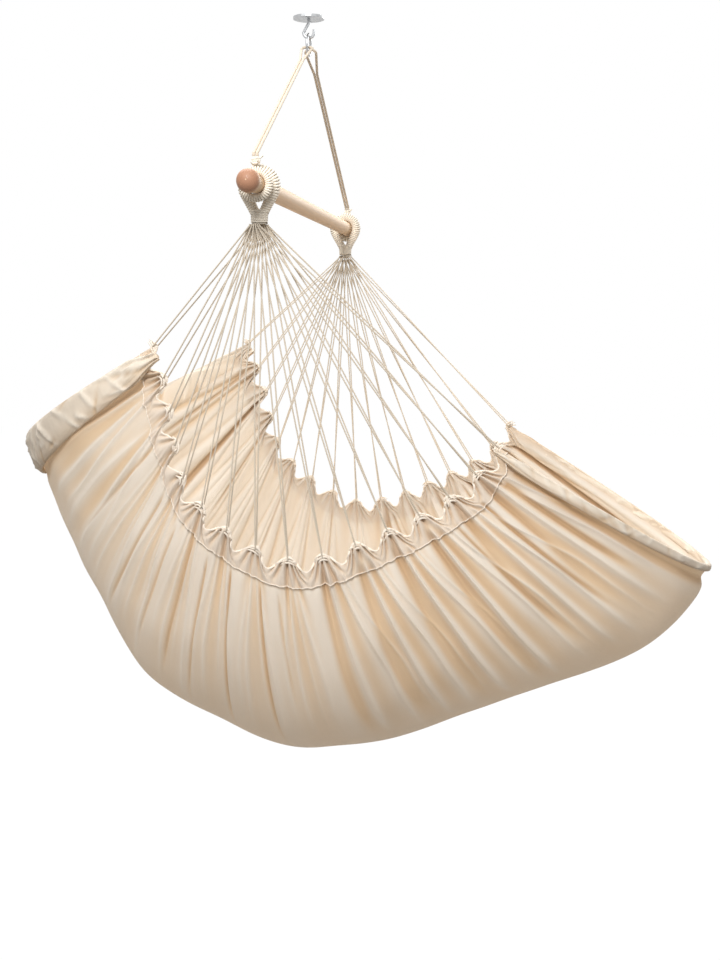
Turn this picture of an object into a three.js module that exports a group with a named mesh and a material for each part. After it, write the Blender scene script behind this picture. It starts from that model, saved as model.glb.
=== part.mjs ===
// Hammock chair: a gathered cotton sling, hung by two fans of thin cord from a round
// wooden spreader bar, which hangs by two doubled ropes from a ring on a ceiling hook.
// Millimetres, +Z up. X runs from head to foot, Y along the bar, and the origin is the
// middle of the ceiling plate's top face.
import * as THREE from 'three';

// Named lengths of the ceiling fitting and the ring
const MESH_GAP = 0.3;
const PLATE_DIAMETER = 70;
const PLATE_THICKNESS = 5;
const PLATE_HOLE_DIAMETER = 6;
const PLATE_HOLE_PITCH = 48;
const HOOK_WIRE = 7;
const HOOK_BEND_RADIUS = 12;
const HOOK_NECK = 8;
const HOOK_TIP = 6;
const RING_WIRE = 7;
const RING_RADIUS = 22;
const RING_CENTRE_DROP = 60;

// Named lengths of the spreader bar and its ropes
const BAR_DIAMETER = 34;
const BAR_DROP = 423;
const BALL_DIAMETER = 44;
const BALL_REACH = 610;
const ROPE_DIAMETER = 6;
const ROPE_STRAND_GAP = 0.6;
const BIGHT_RADIUS = 12;
const BIGHT_TAPER = 70;
const KNOT_DIAMETER = 19;
const KNOT_LENGTH = 16;
const KNOT_GROOVE = 2;
const KNOT_SEAT_GAP = 0.8;
const HITCH_SETBACK = 60;
const HITCH_CORE = 9;
const HITCH_CORD = 2.6;

// Named lengths of the served eye and the collar at the top of each fan
const EYE_SPACING = 30;
const EYE_CORE = 9.4;
const EYE_CORD = 4.6;
const EYE_STUB = 4;
const EYE_SERVING_SETBACK = 6.9;
const COLLAR_DROP = 480;
const COLLAR_HEIGHT = 27;
const COLLAR_CORE = 28;
const COLLAR_CORD = 2.3;
const WINDING_GAP = 0.45;

// Named lengths of the fans and of the rolled rim that their loops go round
const FAN_CORD = 3;
const FAN_PITCH = 3.7;
const FAN_LEG_SHIFT = 6.8;
const FAN_LEG_GAP = 5;
const FAN_LAYER_PITCH = 4;
const FAN_STUB = 3;
const RIM_DIAMETER = 8;
const RIM_FLAT = 10;
const RIM_CLOTH_GAP = 0.7;
const LOOP_SLOT = 6.5;
const SCALLOP_DEPTH = 22;

// Named lengths of the sling
const CLOTH_THICKNESS = 3;
const BAND_THICKNESS = 3;
const BAND_DEPTH = 60;
const FOLD_HEIGHT = 13;
const HEAD_X = 238;
const FOOT_X = 440;
const HEAD_CORNER_DROP = 722;
const EDGE_SAG = 410;
const HEAD_HALF_WIDTH = 414;
const MIDDLE_HALF_WIDTH = 465;
const FOOT_HALF_WIDTH = 332;
const KEEL_HEAD_X = 664;
const KEEL_FOOT_X = 900;
const KEEL_HEAD_DROP = 946;
const KEEL_SAG = 708;
const HEAD_HEM_WIDTH = 60;
const HEAD_HEM_THICKNESS = 22;
const FOOT_HEM_WIDTH = 24;
const FOOT_HEM_THICKNESS = 9;
const HEM_END_SETBACK = 7;

// Counts and shares
const GATHERS = 16;
const COLUMNS_PER_SCALLOP = 4;
const FAN_LEG_LAYERS = 3;
const ROUND_SIDES = 20;
const RIM_SIDES = 6;
const CORD_SIDES = 8;
const WINDING_SIDES = 5;
const COLLAR_LOOPS = 9;
const COLLAR_LOOP_STEPS = 8;
const EYE_LOOPS = 16;
const HITCH_LOOPS = 10;
const SMALL_LOOP_STEPS = 8;
const KNOT_BULGES = 3;
const KNOT_BULGE_STEPS = 3;
const BIGHT_STEPS = 3;
const CURVE_STEPS = 8;
// The edge and keel lines: each place is a share of the run from head to foot and of the sag.
const EDGE_RUN_SHARES = [0, 0.04, 0.07, 0.11, 0.22, 0.37, 0.5, 0.65, 0.79, 0.91, 1];
const EDGE_DROP_SHARES = [0, 0.18, 0.41, 0.66, 0.86, 1, 1, 0.91, 0.8, 0.67, 0.49];
const KEEL_RUN_SHARES = [0, 0.035, 0.12, 0.2, 0.32, 0.425, 0.54, 0.68, 0.835, 0.93, 0.985, 1];
const KEEL_DROP_SHARES = [0, 0.17, 0.53, 0.79, 0.93, 1, 0.965, 0.85, 0.72, 0.615, 0.475, 0.365];
const ROW_SHARES = [0, 0.09, 0.33, 0.59, 0.87];
const HEM_ROW_SHARES = [0, 0.6, 1, 1, 1];
const HEAD_HEM_SHARE = 0.027;
const FOOT_HEM_SHARE = 0.013;
const HEM_END_WIDTH_SHARE = 0.5;
const FOLD_ROW_SHARES = [0, 0.5, 1, 0.8, 0.25];

// Plain colours of the pieces
const COTTON_COLOUR = 0xdcc8a8;
const CORD_COLOUR = 0xb8aa92;
const SERVING_COLOUR = 0xcdbfa6;
const BIRCH_COLOUR = 0xe0c39c;
const STEEL_COLOUR = 0xb9bcbf;

const ringCentre = new THREE.Vector3(0, 0, -RING_CENTRE_DROP);
const hitchReach = BALL_REACH - HITCH_SETBACK;
const eyeReach = hitchReach - EYE_SPACING;
const columns = (GATHERS - 1) * COLUMNS_PER_SCALLOP;
const rowShares = [...ROW_SHARES, ...ROW_SHARES.map((share) => 2 - share).reverse()];
const foldShares = [...FOLD_ROW_SHARES, ...[...FOLD_ROW_SHARES].reverse()];
const hemShares = [...HEM_ROW_SHARES, ...[...HEM_ROW_SHARES].reverse()];
const lastRow = rowShares.length - 1;
const root = new THREE.Group();

function addPiece(name, geometry, color, roughness, metalness) {
  const material = new THREE.MeshStandardMaterial({ color, roughness, metalness });
  const mesh = new THREE.Mesh(geometry, material);
  mesh.name = name;
  root.add(mesh);
}

const addCotton = (name, geometry) => addPiece(name, geometry, COTTON_COLOUR, 0.9, 0);
const addCord = (name, geometry) => addPiece(name, geometry, CORD_COLOUR, 0.9, 0);
const addServing = (name, geometry) => addPiece(name, geometry, SERVING_COLOUR, 0.9, 0);
const addSteel = (name, geometry) => addPiece(name, geometry, STEEL_COLOUR, 0.3, 1);

// A route through chosen points, whose steps fall on the points themselves.
class RouteCurve extends THREE.Curve {
  constructor(points) {
    super();
    this.points = points;
  }

  segment(place) {
    const index = THREE.MathUtils.clamp(Math.floor(place), 0, this.points.length - 2);
    return [this.points[index], this.points[index + 1], place - index];
  }

  getPoint(t, target = new THREE.Vector3()) {
    const [from, to, share] = this.segment(t * (this.points.length - 1));
    return target.lerpVectors(from, to, share);
  }

  getTangent(t, target = new THREE.Vector3()) {
    const place = t * (this.points.length - 1);
    const [from, to] = this.segment(place - Number.EPSILON * this.points.length);
    const [next, after] = this.segment(place + Number.EPSILON * this.points.length);
    const before = new THREE.Vector3().subVectors(to, from).normalize();
    return target.subVectors(after, next).normalize().add(before).normalize();
  }

  getUtoTmapping(u) {
    return u;
  }
}

function roundSection(diameter, sides) {
  const corners = [];
  for (let k = 0; k < sides; k += 1) {
    const angle = (2 * Math.PI * k) / sides;
    corners.push(new THREE.Vector2(Math.cos(angle), Math.sin(angle)).multiplyScalar(diameter / 2));
  }
  return new THREE.Shape(corners);
}

function tube(points, diameter, sides) {
  const extrudePath = new RouteCurve(points);
  const steps = points.length - 1;
  return new THREE.ExtrudeGeometry(roundSection(diameter, sides), {
    steps,
    extrudePath,
    bevelEnabled: false,
  });
}

// Joins rings of points into one closed skin, with a strip of faces across each end.
function loft(rings) {
  const count = rings[0].length;
  const last = (rings.length - 1) * count;
  const faces = [];
  for (let ring = 0; ring + 1 < rings.length; ring += 1) {
    for (let k = 0; k < count; k += 1) {
      const a = ring * count + k;
      const b = ring * count + ((k + 1) % count);
      faces.push(a, b, b + count, a, b + count, a + count);
    }
  }
  for (let k = 0; k + 1 < count / 2; k += 1) {
    const far = count - 1 - k;
    faces.push(k, far, far - 1, k, far - 1, k + 1);
    faces.push(last + k, last + k + 1, last + far - 1, last + k, last + far - 1, last + far);
  }
  const points = rings.flat();
  if (enclosedVolume(points, faces) < 0) {
    faces.reverse();
  }
  const geometry = new THREE.BufferGeometry().setFromPoints(points);
  geometry.setIndex(faces);
  geometry.computeVertexNormals();
  return geometry;
}

function enclosedVolume(points, faces) {
  let volume = 0;
  for (let k = 0; k < faces.length; k += 3) {
    const across = new THREE.Vector3().crossVectors(points[faces[k + 1]], points[faces[k + 2]]);
    volume += points[faces[k]].dot(across);
  }
  return volume;
}

// Turns of cord round a core line, as one unbroken route with a straight run at each end.
function windingRoute(core, loops, stepsPerLoop, reach, cord) {
  const steps = loops * stepsPerLoop;
  const points = [];
  for (let k = 0; k <= steps; k += 1) {
    const share = k / steps;
    const { centre, across, up } = core(share);
    const angle = (2 * Math.PI * k) / stepsPerLoop;
    const side = across.clone().multiplyScalar(Math.cos(angle) * reach);
    points.push(centre.clone().add(side).addScaledVector(up, Math.sin(angle) * reach));
  }
  const lead = new THREE.Vector3().subVectors(points[0], points[1]).setLength(cord);
  const tail = new THREE.Vector3().subVectors(points[steps], points[steps - 1]).setLength(cord);
  return [points[0].clone().add(lead), ...points, points[steps].clone().add(tail)];
}

// Least distance between the surfaces of turns that lie more than half a loop apart.
function leastSelfGap(points, cord, stepsPerLoop) {
  let least = Infinity;
  for (let k = 0; k < points.length; k += 1) {
    for (let m = k + Math.ceil(stepsPerLoop / 2) + 1; m < points.length; m += 1) {
      least = Math.min(least, points[k].distanceTo(points[m]) - cord);
    }
  }
  return least;
}

// The centre line of a turn of cord round a core, out far enough for its straight steps to clear it.
function turnReach(coreDiameter, cord, stepsPerLoop) {
  return (coreDiameter / 2 + cord / 2 + WINDING_GAP) / Math.cos(Math.PI / stepsPerLoop);
}

function addWinding(name, core, loops, stepsPerLoop, coreDiameter, cord) {
  const reach = turnReach(coreDiameter, cord, stepsPerLoop);
  const points = windingRoute(core, loops, stepsPerLoop, reach, cord);
  console.log(`${name}: least gap to itself ${leastSelfGap(points, cord, stepsPerLoop).toFixed(2)} mm`);
  addServing(name, tube(points, cord, WINDING_SIDES));
}

function addCeilingPlate() {
  const plate = new THREE.Shape().absarc(0, 0, PLATE_DIAMETER / 2, 0, 2 * Math.PI);
  for (const side of [-1, 1]) {
    const centre = (side * PLATE_HOLE_PITCH) / 2;
    plate.holes.push(new THREE.Path().absarc(0, centre, PLATE_HOLE_DIAMETER / 2, 0, 2 * Math.PI));
  }
  const geometry = new THREE.ExtrudeGeometry(plate, {
    depth: PLATE_THICKNESS,
    bevelEnabled: false,
    curveSegments: ROUND_SIDES / 2,
  });
  geometry.translate(0, 0, -PLATE_THICKNESS);
  addSteel('ceiling_plate', geometry);
}

function addCeilingHook() {
  const ringTop = -RING_CENTRE_DROP + RING_RADIUS;
  const bendCentre = ringTop - (RING_WIRE + HOOK_WIRE) / 2 - MESH_GAP + HOOK_BEND_RADIUS;
  const top = -PLATE_THICKNESS - MESH_GAP;
  const points = [new THREE.Vector3(0, 0, top), new THREE.Vector3(0, 0, top - HOOK_NECK)];
  for (let k = 0; k <= CURVE_STEPS; k += 1) {
    const angle = Math.PI + (Math.PI * k) / CURVE_STEPS;
    const x = HOOK_BEND_RADIUS * Math.cos(angle);
    points.push(new THREE.Vector3(x, 0, bendCentre + HOOK_BEND_RADIUS * Math.sin(angle)));
  }
  points.push(new THREE.Vector3(HOOK_BEND_RADIUS, 0, bendCentre + HOOK_TIP));
  addSteel('ceiling_hook', tube(points, HOOK_WIRE, ROUND_SIDES / 2));
}

function addHangingRing() {
  const steps = ROUND_SIDES + CURVE_STEPS;
  const geometry = new THREE.TorusGeometry(RING_RADIUS, RING_WIRE / 2, CORD_SIDES, steps);
  geometry.rotateY(Math.PI / 2);
  geometry.translate(0, 0, -RING_CENTRE_DROP);
  addSteel('hanging_ring', geometry);
}

// Where each doubled rope meets its knot, and its direction away from the ring.
const servedHitch = turnReach(HITCH_CORE, HITCH_CORD, SMALL_LOOP_STEPS) + HITCH_CORD / 2;
const hitchRadius = BAR_DIAMETER / 2 + MESH_GAP + servedHitch;
const knotBase = -BAR_DROP + hitchRadius + servedHitch + KNOT_SEAT_GAP;

function knotTop(side) {
  const base = new THREE.Vector3(0, side * hitchReach, knotBase);
  return base.add(new THREE.Vector3(0, 0, KNOT_LENGTH + MESH_GAP));
}

function addSuspensionRope(sideName, side) {
  const bottom = knotTop(side);
  const away = new THREE.Vector3().subVectors(bottom, ringCentre).normalize();
  const seat = (RING_WIRE + ROPE_DIAMETER) / 2 + MESH_GAP;
  const knotSpread = (ROPE_DIAMETER + ROPE_STRAND_GAP) / 2;
  const bight = ringCentre.clone().addScaledVector(away, RING_RADIUS - seat + BIGHT_RADIUS);
  const stub = new THREE.Vector3(0, 0, ROPE_DIAMETER);
  const points = [];
  for (let k = 0; k <= CURVE_STEPS; k += 1) {
    const angle = (Math.PI * k) / CURVE_STEPS;
    const point = bight.clone().addScaledVector(away, -Math.sin(angle) * BIGHT_RADIUS);
    point.x = Math.cos(angle) * BIGHT_RADIUS;
    points.push(point);
  }
  for (const end of [-1, 1]) {
    const foot = bottom.clone();
    foot.x = end * knotSpread;
    const taper = bight.clone().addScaledVector(away, BIGHT_TAPER);
    taper.x = end * knotSpread;
    const run = [taper, foot.clone().add(stub), foot];
    if (end < 0) {
      points.push(...run);
    } else {
      points.unshift(...run.reverse());
    }
  }
  addCord(`${sideName}_suspension_rope`, tube(points, ROPE_DIAMETER, CORD_SIDES));
}

function addRopeKnot(sideName, side) {
  const profile = [new THREE.Vector2(0, 0)];
  const steps = KNOT_BULGES * KNOT_BULGE_STEPS;
  for (let k = 0; k <= steps; k += 1) {
    const wave = Math.abs(Math.sin((Math.PI * k) / KNOT_BULGE_STEPS));
    const radius = KNOT_DIAMETER / 2 - KNOT_GROOVE * (1 - wave);
    profile.push(new THREE.Vector2(radius, (KNOT_LENGTH * k) / steps));
  }
  profile.push(new THREE.Vector2(0, KNOT_LENGTH));
  const geometry = new THREE.LatheGeometry(profile, ROUND_SIDES / 2);
  geometry.rotateX(Math.PI / 2);
  geometry.translate(0, side * hitchReach, knotBase);
  addCord(`${sideName}_rope_knot`, geometry);
}

function addBarHitch(sideName, side) {
  const centre = new THREE.Vector3(0, side * hitchReach, -BAR_DROP);
  const along = new THREE.Vector3(0, 1, 0);
  const core = new THREE.TorusGeometry(hitchRadius, HITCH_CORE / 2, CORD_SIDES, 2 * CURVE_STEPS);
  core.rotateX(Math.PI / 2);
  core.translate(centre.x, centre.y, centre.z);
  addServing(`${sideName}_hitch_core`, core);
  const turns = (share) => {
    const angle = Math.PI / 2 + 2 * Math.PI * (share * (1 - 1 / (2 * HITCH_LOOPS)));
    const out = new THREE.Vector3(Math.cos(angle), 0, Math.sin(angle));
    return { centre: centre.clone().addScaledVector(out, hitchRadius), across: out, up: along };
  };
  addWinding(`${sideName}_hitch_serving`, turns, HITCH_LOOPS, SMALL_LOOP_STEPS, HITCH_CORE, HITCH_CORD);
}

function addSpreaderBar() {
  const rod = BAR_DIAMETER / 2;
  const ball = BALL_DIAMETER / 2;
  const start = Math.asin(rod / ball);
  const half = [];
  for (let k = 0; k <= CURVE_STEPS; k += 1) {
    const angle = THREE.MathUtils.lerp(Math.PI - start, 0, k / CURVE_STEPS);
    half.push(new THREE.Vector2(ball * Math.sin(angle), BALL_REACH + ball * Math.cos(angle)));
  }
  half[half.length - 1].x = 0;
  const mirrored = half.map((point) => new THREE.Vector2(point.x, -point.y)).reverse();
  const geometry = new THREE.LatheGeometry([...mirrored, ...half], ROUND_SIDES);
  geometry.translate(0, 0, -BAR_DROP);
  addPiece('spreader_bar', geometry, BIRCH_COLOUR, 0.55, 0);
}

// The served eye: two legs rise from the collar and meet in an arc over the bar.
const servedEye = turnReach(EYE_CORE, EYE_CORD, SMALL_LOOP_STEPS) + EYE_CORD / 2;
const eyeRadius = BAR_DIAMETER / 2 + MESH_GAP + servedEye;
const legSpread = servedEye + MESH_GAP;
const collarTop = -COLLAR_DROP + COLLAR_HEIGHT / 2;

function eyeLine() {
  const legFoot = new THREE.Vector2(legSpread, collarTop + MESH_GAP + EYE_STUB + BAR_DROP);
  const turnIn = Math.acos(eyeRadius / legFoot.length());
  const arcStart = Math.atan2(legFoot.y, legFoot.x) + turnIn;
  const arcSweep = Math.PI - 2 * arcStart;
  const joint = new THREE.Vector2(Math.cos(arcStart), Math.sin(arcStart)).multiplyScalar(eyeRadius);
  const legLength = joint.distanceTo(legFoot);
  const arcLength = arcSweep * eyeRadius;
  return { legFoot, arcStart, arcSweep, joint, legLength, arcLength, total: 2 * legLength + arcLength };
}

function eyePoint(line, share, side) {
  const travelled = share * line.total;
  const mirrored = travelled > line.total / 2;
  const fromFoot = Math.min(travelled, line.total - travelled);
  const place = new THREE.Vector2();
  const normal = new THREE.Vector2(Math.cos(line.arcStart), Math.sin(line.arcStart));
  if (fromFoot < line.legLength) {
    place.lerpVectors(line.legFoot, line.joint, fromFoot / line.legLength);
  } else {
    const angle = line.arcStart + (fromFoot - line.legLength) / eyeRadius;
    normal.set(Math.cos(angle), Math.sin(angle));
    place.copy(normal).multiplyScalar(eyeRadius);
  }
  const flip = mirrored ? -1 : 1;
  return {
    centre: new THREE.Vector3(flip * place.x, side * eyeReach, place.y - BAR_DROP),
    across: new THREE.Vector3(flip * normal.x, 0, normal.y),
    up: new THREE.Vector3(0, 1, 0),
  };
}

function addFanEye(sideName, side) {
  const line = eyeLine();
  const steps = CURVE_STEPS * 2;
  const points = [];
  for (let k = 0; k <= steps; k += 1) {
    points.push(eyePoint(line, k / steps, side).centre);
  }
  const stub = new THREE.Vector3(0, 0, EYE_STUB);
  points.unshift(points[0].clone().sub(stub));
  points.push(points[steps + 1].clone().sub(stub));
  addServing(`${sideName}_eye_core`, tube(points, EYE_CORE, CORD_SIDES));
  const endShare = EYE_SERVING_SETBACK / line.total;
  const turns = (share) => eyePoint(line, THREE.MathUtils.lerp(endShare, 1 - endShare, share), side);
  addWinding(`${sideName}_eye_serving`, turns, EYE_LOOPS, SMALL_LOOP_STEPS, EYE_CORE, EYE_CORD);
}

function addCollar(sideName, side) {
  const centre = new THREE.Vector3(0, side * eyeReach, -COLLAR_DROP);
  const core = new THREE.CylinderGeometry(COLLAR_CORE / 2, COLLAR_CORE / 2, COLLAR_HEIGHT, ROUND_SIDES);
  core.rotateX(Math.PI / 2);
  core.translate(centre.x, centre.y, centre.z);
  addServing(`${sideName}_collar_core`, core);
  const climb = COLLAR_HEIGHT - COLLAR_CORD;
  const turns = (share) => ({
    centre: centre.clone().add(new THREE.Vector3(0, 0, (share - 1 / 2) * climb)),
    across: new THREE.Vector3(1, 0, 0),
    up: new THREE.Vector3(0, 1, 0),
  });
  addWinding(`${sideName}_collar_serving`, turns, COLLAR_LOOPS, COLLAR_LOOP_STEPS, COLLAR_CORE, COLLAR_CORD);
}

function sagCurve({ runShares, dropShares, headX, footX, headDrop, sag }) {
  const points = runShares.map((share, k) => {
    const x = THREE.MathUtils.lerp(-headX, footX, share);
    return new THREE.Vector2(x, -headDrop - sag * dropShares[k]);
  });
  const curve = new THREE.SplineCurve(points);
  curve.arcLengthDivisions = columns * COLUMNS_PER_SCALLOP;
  return curve;
}

const edgeCurve = sagCurve({
  runShares: EDGE_RUN_SHARES,
  dropShares: EDGE_DROP_SHARES,
  headX: HEAD_X,
  footX: FOOT_X,
  headDrop: HEAD_CORNER_DROP,
  sag: EDGE_SAG,
});
const keelCurve = sagCurve({
  runShares: KEEL_RUN_SHARES,
  dropShares: KEEL_DROP_SHARES,
  headX: KEEL_HEAD_X,
  footX: KEEL_FOOT_X,
  headDrop: KEEL_HEAD_DROP,
  sag: KEEL_SAG,
});

// A place on the smooth sling: along runs from head to foot, across from edge to keel to edge.
function slingPoint(along, across) {
  const edge = edgeCurve.getPointAt(along);
  const keel = keelCurve.getPointAt(along);
  const endWidth = THREE.MathUtils.lerp(HEAD_HALF_WIDTH, FOOT_HALF_WIDTH, along);
  const middleWidth = MIDDLE_HALF_WIDTH - (HEAD_HALF_WIDTH + FOOT_HALF_WIDTH) / 2;
  const halfWidth = endWidth + middleWidth * Math.sin(Math.PI * along);
  const angle = (across * Math.PI) / 2;
  const middle = edge.clone().lerp(keel, Math.sin(angle));
  return new THREE.Vector3(middle.x, -halfWidth * Math.cos(angle), middle.y);
}

function slingNormal(along, across) {
  const reach = 1 / columns / 2;
  const before = slingPoint(Math.max(along - reach, 0), across);
  const after = slingPoint(Math.min(along + reach, 1), across);
  const run = after.sub(before);
  const side = slingPoint(along, across + reach).sub(slingPoint(along, across - reach));
  return new THREE.Vector3().crossVectors(side, run).normalize();
}

// The run from the rim towards the keel, square to the rim, on either side of the sling.
function inwardRun(along, nearSide) {
  const step = rowShares[1];
  const reach = 1 / columns;
  const rimAcross = nearSide ? 0 : 2;
  const rim = slingPoint(along, rimAcross);
  const edgeRun = slingPoint(Math.min(along + reach, 1), rimAcross);
  edgeRun.sub(slingPoint(Math.max(along - reach, 0), rimAcross)).normalize();
  const inner = slingPoint(along, nearSide ? step : 2 - step).sub(rim);
  return inner.addScaledVector(edgeRun, -inner.dot(edgeRun)).normalize();
}

function scallopDip(column) {
  const phase = (2 * Math.PI * column) / COLUMNS_PER_SCALLOP;
  return (SCALLOP_DEPTH * (1 - Math.cos(phase))) / 2;
}

// Along the sling from the end of the head hem to the end of the foot hem.
function alongAt(column, row) {
  const start = HEAD_HEM_SHARE * hemShares[row];
  return THREE.MathUtils.lerp(start, 1 - FOOT_HEM_SHARE * hemShares[row], column / columns);
}

function rimPoint(column, nearSide) {
  const along = column / columns;
  const rim = slingPoint(along, nearSide ? 0 : 2);
  return rim.addScaledVector(inwardRun(along, nearSide), scallopDip(column));
}

// How far the cloth's top edge lies below the smooth edge: under the sloping rim, with a slot
// at each gather for the cord loop.
function clothTopDepth(column) {
  if (column % COLUMNS_PER_SCALLOP === 0) {
    return RIM_DIAMETER / 2 + LOOP_SLOT;
  }
  const columnRun = edgeCurve.getLength() / columns;
  const slope = Math.atan((scallopDip(column + 1) - scallopDip(column - 1)) / (2 * columnRun));
  return scallopDip(column) + (RIM_DIAMETER / 2 + RIM_CLOTH_GAP) / Math.cos(slope);
}

function clothPoint(column, row) {
  const along = alongAt(column, row);
  const nearSide = row <= lastRow / 2;
  const phase = (2 * Math.PI * column) / COLUMNS_PER_SCALLOP;
  const fold = -Math.cos(phase) * FOLD_HEIGHT * foldShares[row];
  const point = slingPoint(along, rowShares[row]);
  if (row === 0 || row === lastRow) {
    point.addScaledVector(inwardRun(along, nearSide), clothTopDepth(column));
  }
  if (row === 1 || row === lastRow - 1) {
    point.copy(slingPoint(along, nearSide ? 0 : 2));
    point.addScaledVector(inwardRun(along, nearSide), BAND_DEPTH);
  }
  return point.addScaledVector(slingNormal(along, rowShares[row]), fold);
}

function gridOf(pointAt) {
  const grid = [];
  for (let column = 0; column <= columns; column += 1) {
    grid.push(rowShares.map((share, row) => pointAt(column, row)));
  }
  return grid;
}

const clothGrid = gridOf(clothPoint);
const clothNormals = gridOf((column, row) => {
  const run = new THREE.Vector3().subVectors(
    clothGrid[Math.min(column + 1, columns)][row],
    clothGrid[Math.max(column - 1, 0)][row],
  );
  const side = new THREE.Vector3().subVectors(
    clothGrid[column][Math.min(row + 1, lastRow)],
    clothGrid[column][Math.max(row - 1, 0)],
  );
  return side.cross(run).normalize();
});

function skinPoint(column, row, height) {
  return clothGrid[column][row].clone().addScaledVector(clothNormals[column][row], height);
}

function skinRing(column, rows, firstHeight, secondHeight) {
  const first = rows.map((row) => skinPoint(column, row, firstHeight));
  const second = rows.map((row) => skinPoint(column, row, secondHeight));
  return [...first, ...second.reverse()];
}

function addSeatCloth() {
  const rows = rowShares.map((share, row) => row);
  const rings = clothGrid.map((points, column) => {
    return skinRing(column, rows, CLOTH_THICKNESS / 2, -CLOTH_THICKNESS / 2);
  });
  addCotton('seat_cloth', loft(rings));
}

function addSideBand(sideName, rows) {
  const inner = CLOTH_THICKNESS / 2 + MESH_GAP;
  const rings = clothGrid.map((points, column) => skinRing(column, rows, inner, inner + BAND_THICKNESS));
  addCotton(`${sideName}_side_band`, loft(rings));
}

// The rolled rim: it runs flat over each gather, where a cord loop goes round it.
function rimRoute(nearSide) {
  const points = [];
  for (let column = 0; column <= columns; column += 1) {
    const here = rimPoint(column, nearSide);
    if (column % COLUMNS_PER_SCALLOP === 0) {
      const run = rimTangent(column, nearSide).multiplyScalar(RIM_FLAT / 2);
      points.push(here.clone().sub(run), here.clone().add(run));
    } else {
      points.push(here);
    }
  }
  return points;
}

function rimTangent(column, nearSide) {
  const before = Math.max(column - COLUMNS_PER_SCALLOP, 0);
  const after = Math.min(column + COLUMNS_PER_SCALLOP, columns);
  return rimPoint(after, nearSide).sub(rimPoint(before, nearSide)).normalize();
}

function addRolledRim(sideName, nearSide) {
  addCotton(`${sideName}_rolled_rim`, tube(rimRoute(nearSide), RIM_DIAMETER, RIM_SIDES));
}

// Places under the collar: the outer legs of the cords start to the head side, in one block of
// layers, and the inner legs to the foot side, in another.
function fanTop(gather, outer, side) {
  const groups = Math.ceil(GATHERS / FAN_LEG_LAYERS);
  const group = Math.floor(gather / FAN_LEG_LAYERS) - (groups - 1) / 2;
  const leg = outer ? -1 : 1;
  const layer = (gather % FAN_LEG_LAYERS) + 1 / 2 - (outer ? FAN_LEG_LAYERS : 0);
  const inward = layer * FAN_LAYER_PITCH + (leg * FAN_LEG_GAP) / 2;
  const z = -COLLAR_DROP - COLLAR_HEIGHT / 2 - MESH_GAP;
  return new THREE.Vector3(group * FAN_PITCH + leg * FAN_LEG_SHIFT, side * (eyeReach - inward), z);
}

// One fan cord: down from the collar, round the rim at its gather and back up.
function fanCordRoute(gather, side) {
  const nearSide = side < 0;
  const column = gather * COLUMNS_PER_SCALLOP;
  const seat = rimPoint(column, nearSide);
  const run = rimTangent(column, nearSide);
  const up = fanTop(gather, true, side).sub(seat);
  up.addScaledVector(run, -up.dot(run)).normalize();
  const out = new THREE.Vector3().crossVectors(run, up);
  if (out.y * side < 0) {
    out.negate();
  }
  const reach = (RIM_DIAMETER / 2 + FAN_CORD / 2 + MESH_GAP) / Math.cos(Math.PI / (2 * BIGHT_STEPS));
  const points = [fanTop(gather, true, side)];
  const stub = new THREE.Vector3(0, 0, -FAN_STUB);
  points.push(points[0].clone().add(stub));
  for (let k = 0; k <= BIGHT_STEPS; k += 1) {
    const angle = (Math.PI * k) / BIGHT_STEPS;
    const point = seat.clone().addScaledVector(out, Math.cos(angle) * reach);
    points.push(point.addScaledVector(up, -Math.sin(angle) * reach));
  }
  const end = fanTop(gather, false, side);
  points.push(end.clone().add(stub), end);
  return points;
}

function addFan(sideName, side) {
  for (let gather = 0; gather < GATHERS; gather += 1) {
    const number = String(gather + 1).padStart(2, '0');
    addCord(`${sideName}_fan_cord_${number}`, tube(fanCordRoute(gather, side), FAN_CORD, CORD_SIDES));
  }
}

// A flattened roll of cloth along the head or foot end of the sling.
function hemRings(column, inwardColumn, width, thickness) {
  const places = [];
  for (let row = 0; row < lastRow; row += 1) {
    for (let k = 0; k < 2; k += 1) {
      places.push({ row, share: k / 2 });
    }
  }
  places.push({ row: lastRow, share: 0 });
  return places.map(({ row, share }, index) => {
    const next = Math.min(row + 1, lastRow);
    const here = clothGrid[column][row].clone().lerp(clothGrid[column][next], share);
    const inner = clothGrid[inwardColumn][row].clone().lerp(clothGrid[inwardColumn][next], share);
    const normal = clothNormals[column][row].clone().lerp(clothNormals[column][next], share).normalize();
    const out = here.clone().sub(inner);
    const along = new THREE.Vector3().subVectors(clothGrid[column][next], clothGrid[column][row]);
    if (row === lastRow) {
      along.subVectors(clothGrid[column][row], clothGrid[column][row - 1]);
    }
    out.addScaledVector(along, -out.dot(along) / along.lengthSq()).normalize();
    if (index === 0) {
      here.addScaledVector(along.normalize(), HEM_END_SETBACK);
    } else if (index === places.length - 1) {
      here.addScaledVector(along.normalize(), -HEM_END_SETBACK);
    }
    const across = THREE.MathUtils.lerp(rowShares[row], rowShares[next], share);
    const fullness = Math.sin((Math.PI * across) / 2);
    const reach = (width / 2) * THREE.MathUtils.lerp(HEM_END_WIDTH_SHARE, 1, fullness);
    const centre = here.addScaledVector(out, reach * Math.cos(Math.PI / CORD_SIDES) + MESH_GAP * 2);
    const ring = [];
    for (let k = 0; k < CORD_SIDES; k += 1) {
      const angle = (2 * Math.PI * (k + 1 / 2)) / CORD_SIDES;
      const point = centre.clone().addScaledVector(out, Math.cos(angle) * reach);
      ring.push(point.addScaledVector(normal, (Math.sin(angle) * thickness) / 2));
    }
    return ring;
  });
}

function addHems() {
  addCotton('head_hem', loft(hemRings(0, 1, HEAD_HEM_WIDTH, HEAD_HEM_THICKNESS)));
  addCotton('foot_hem', loft(hemRings(columns, columns - 1, FOOT_HEM_WIDTH, FOOT_HEM_THICKNESS)));
}

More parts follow.
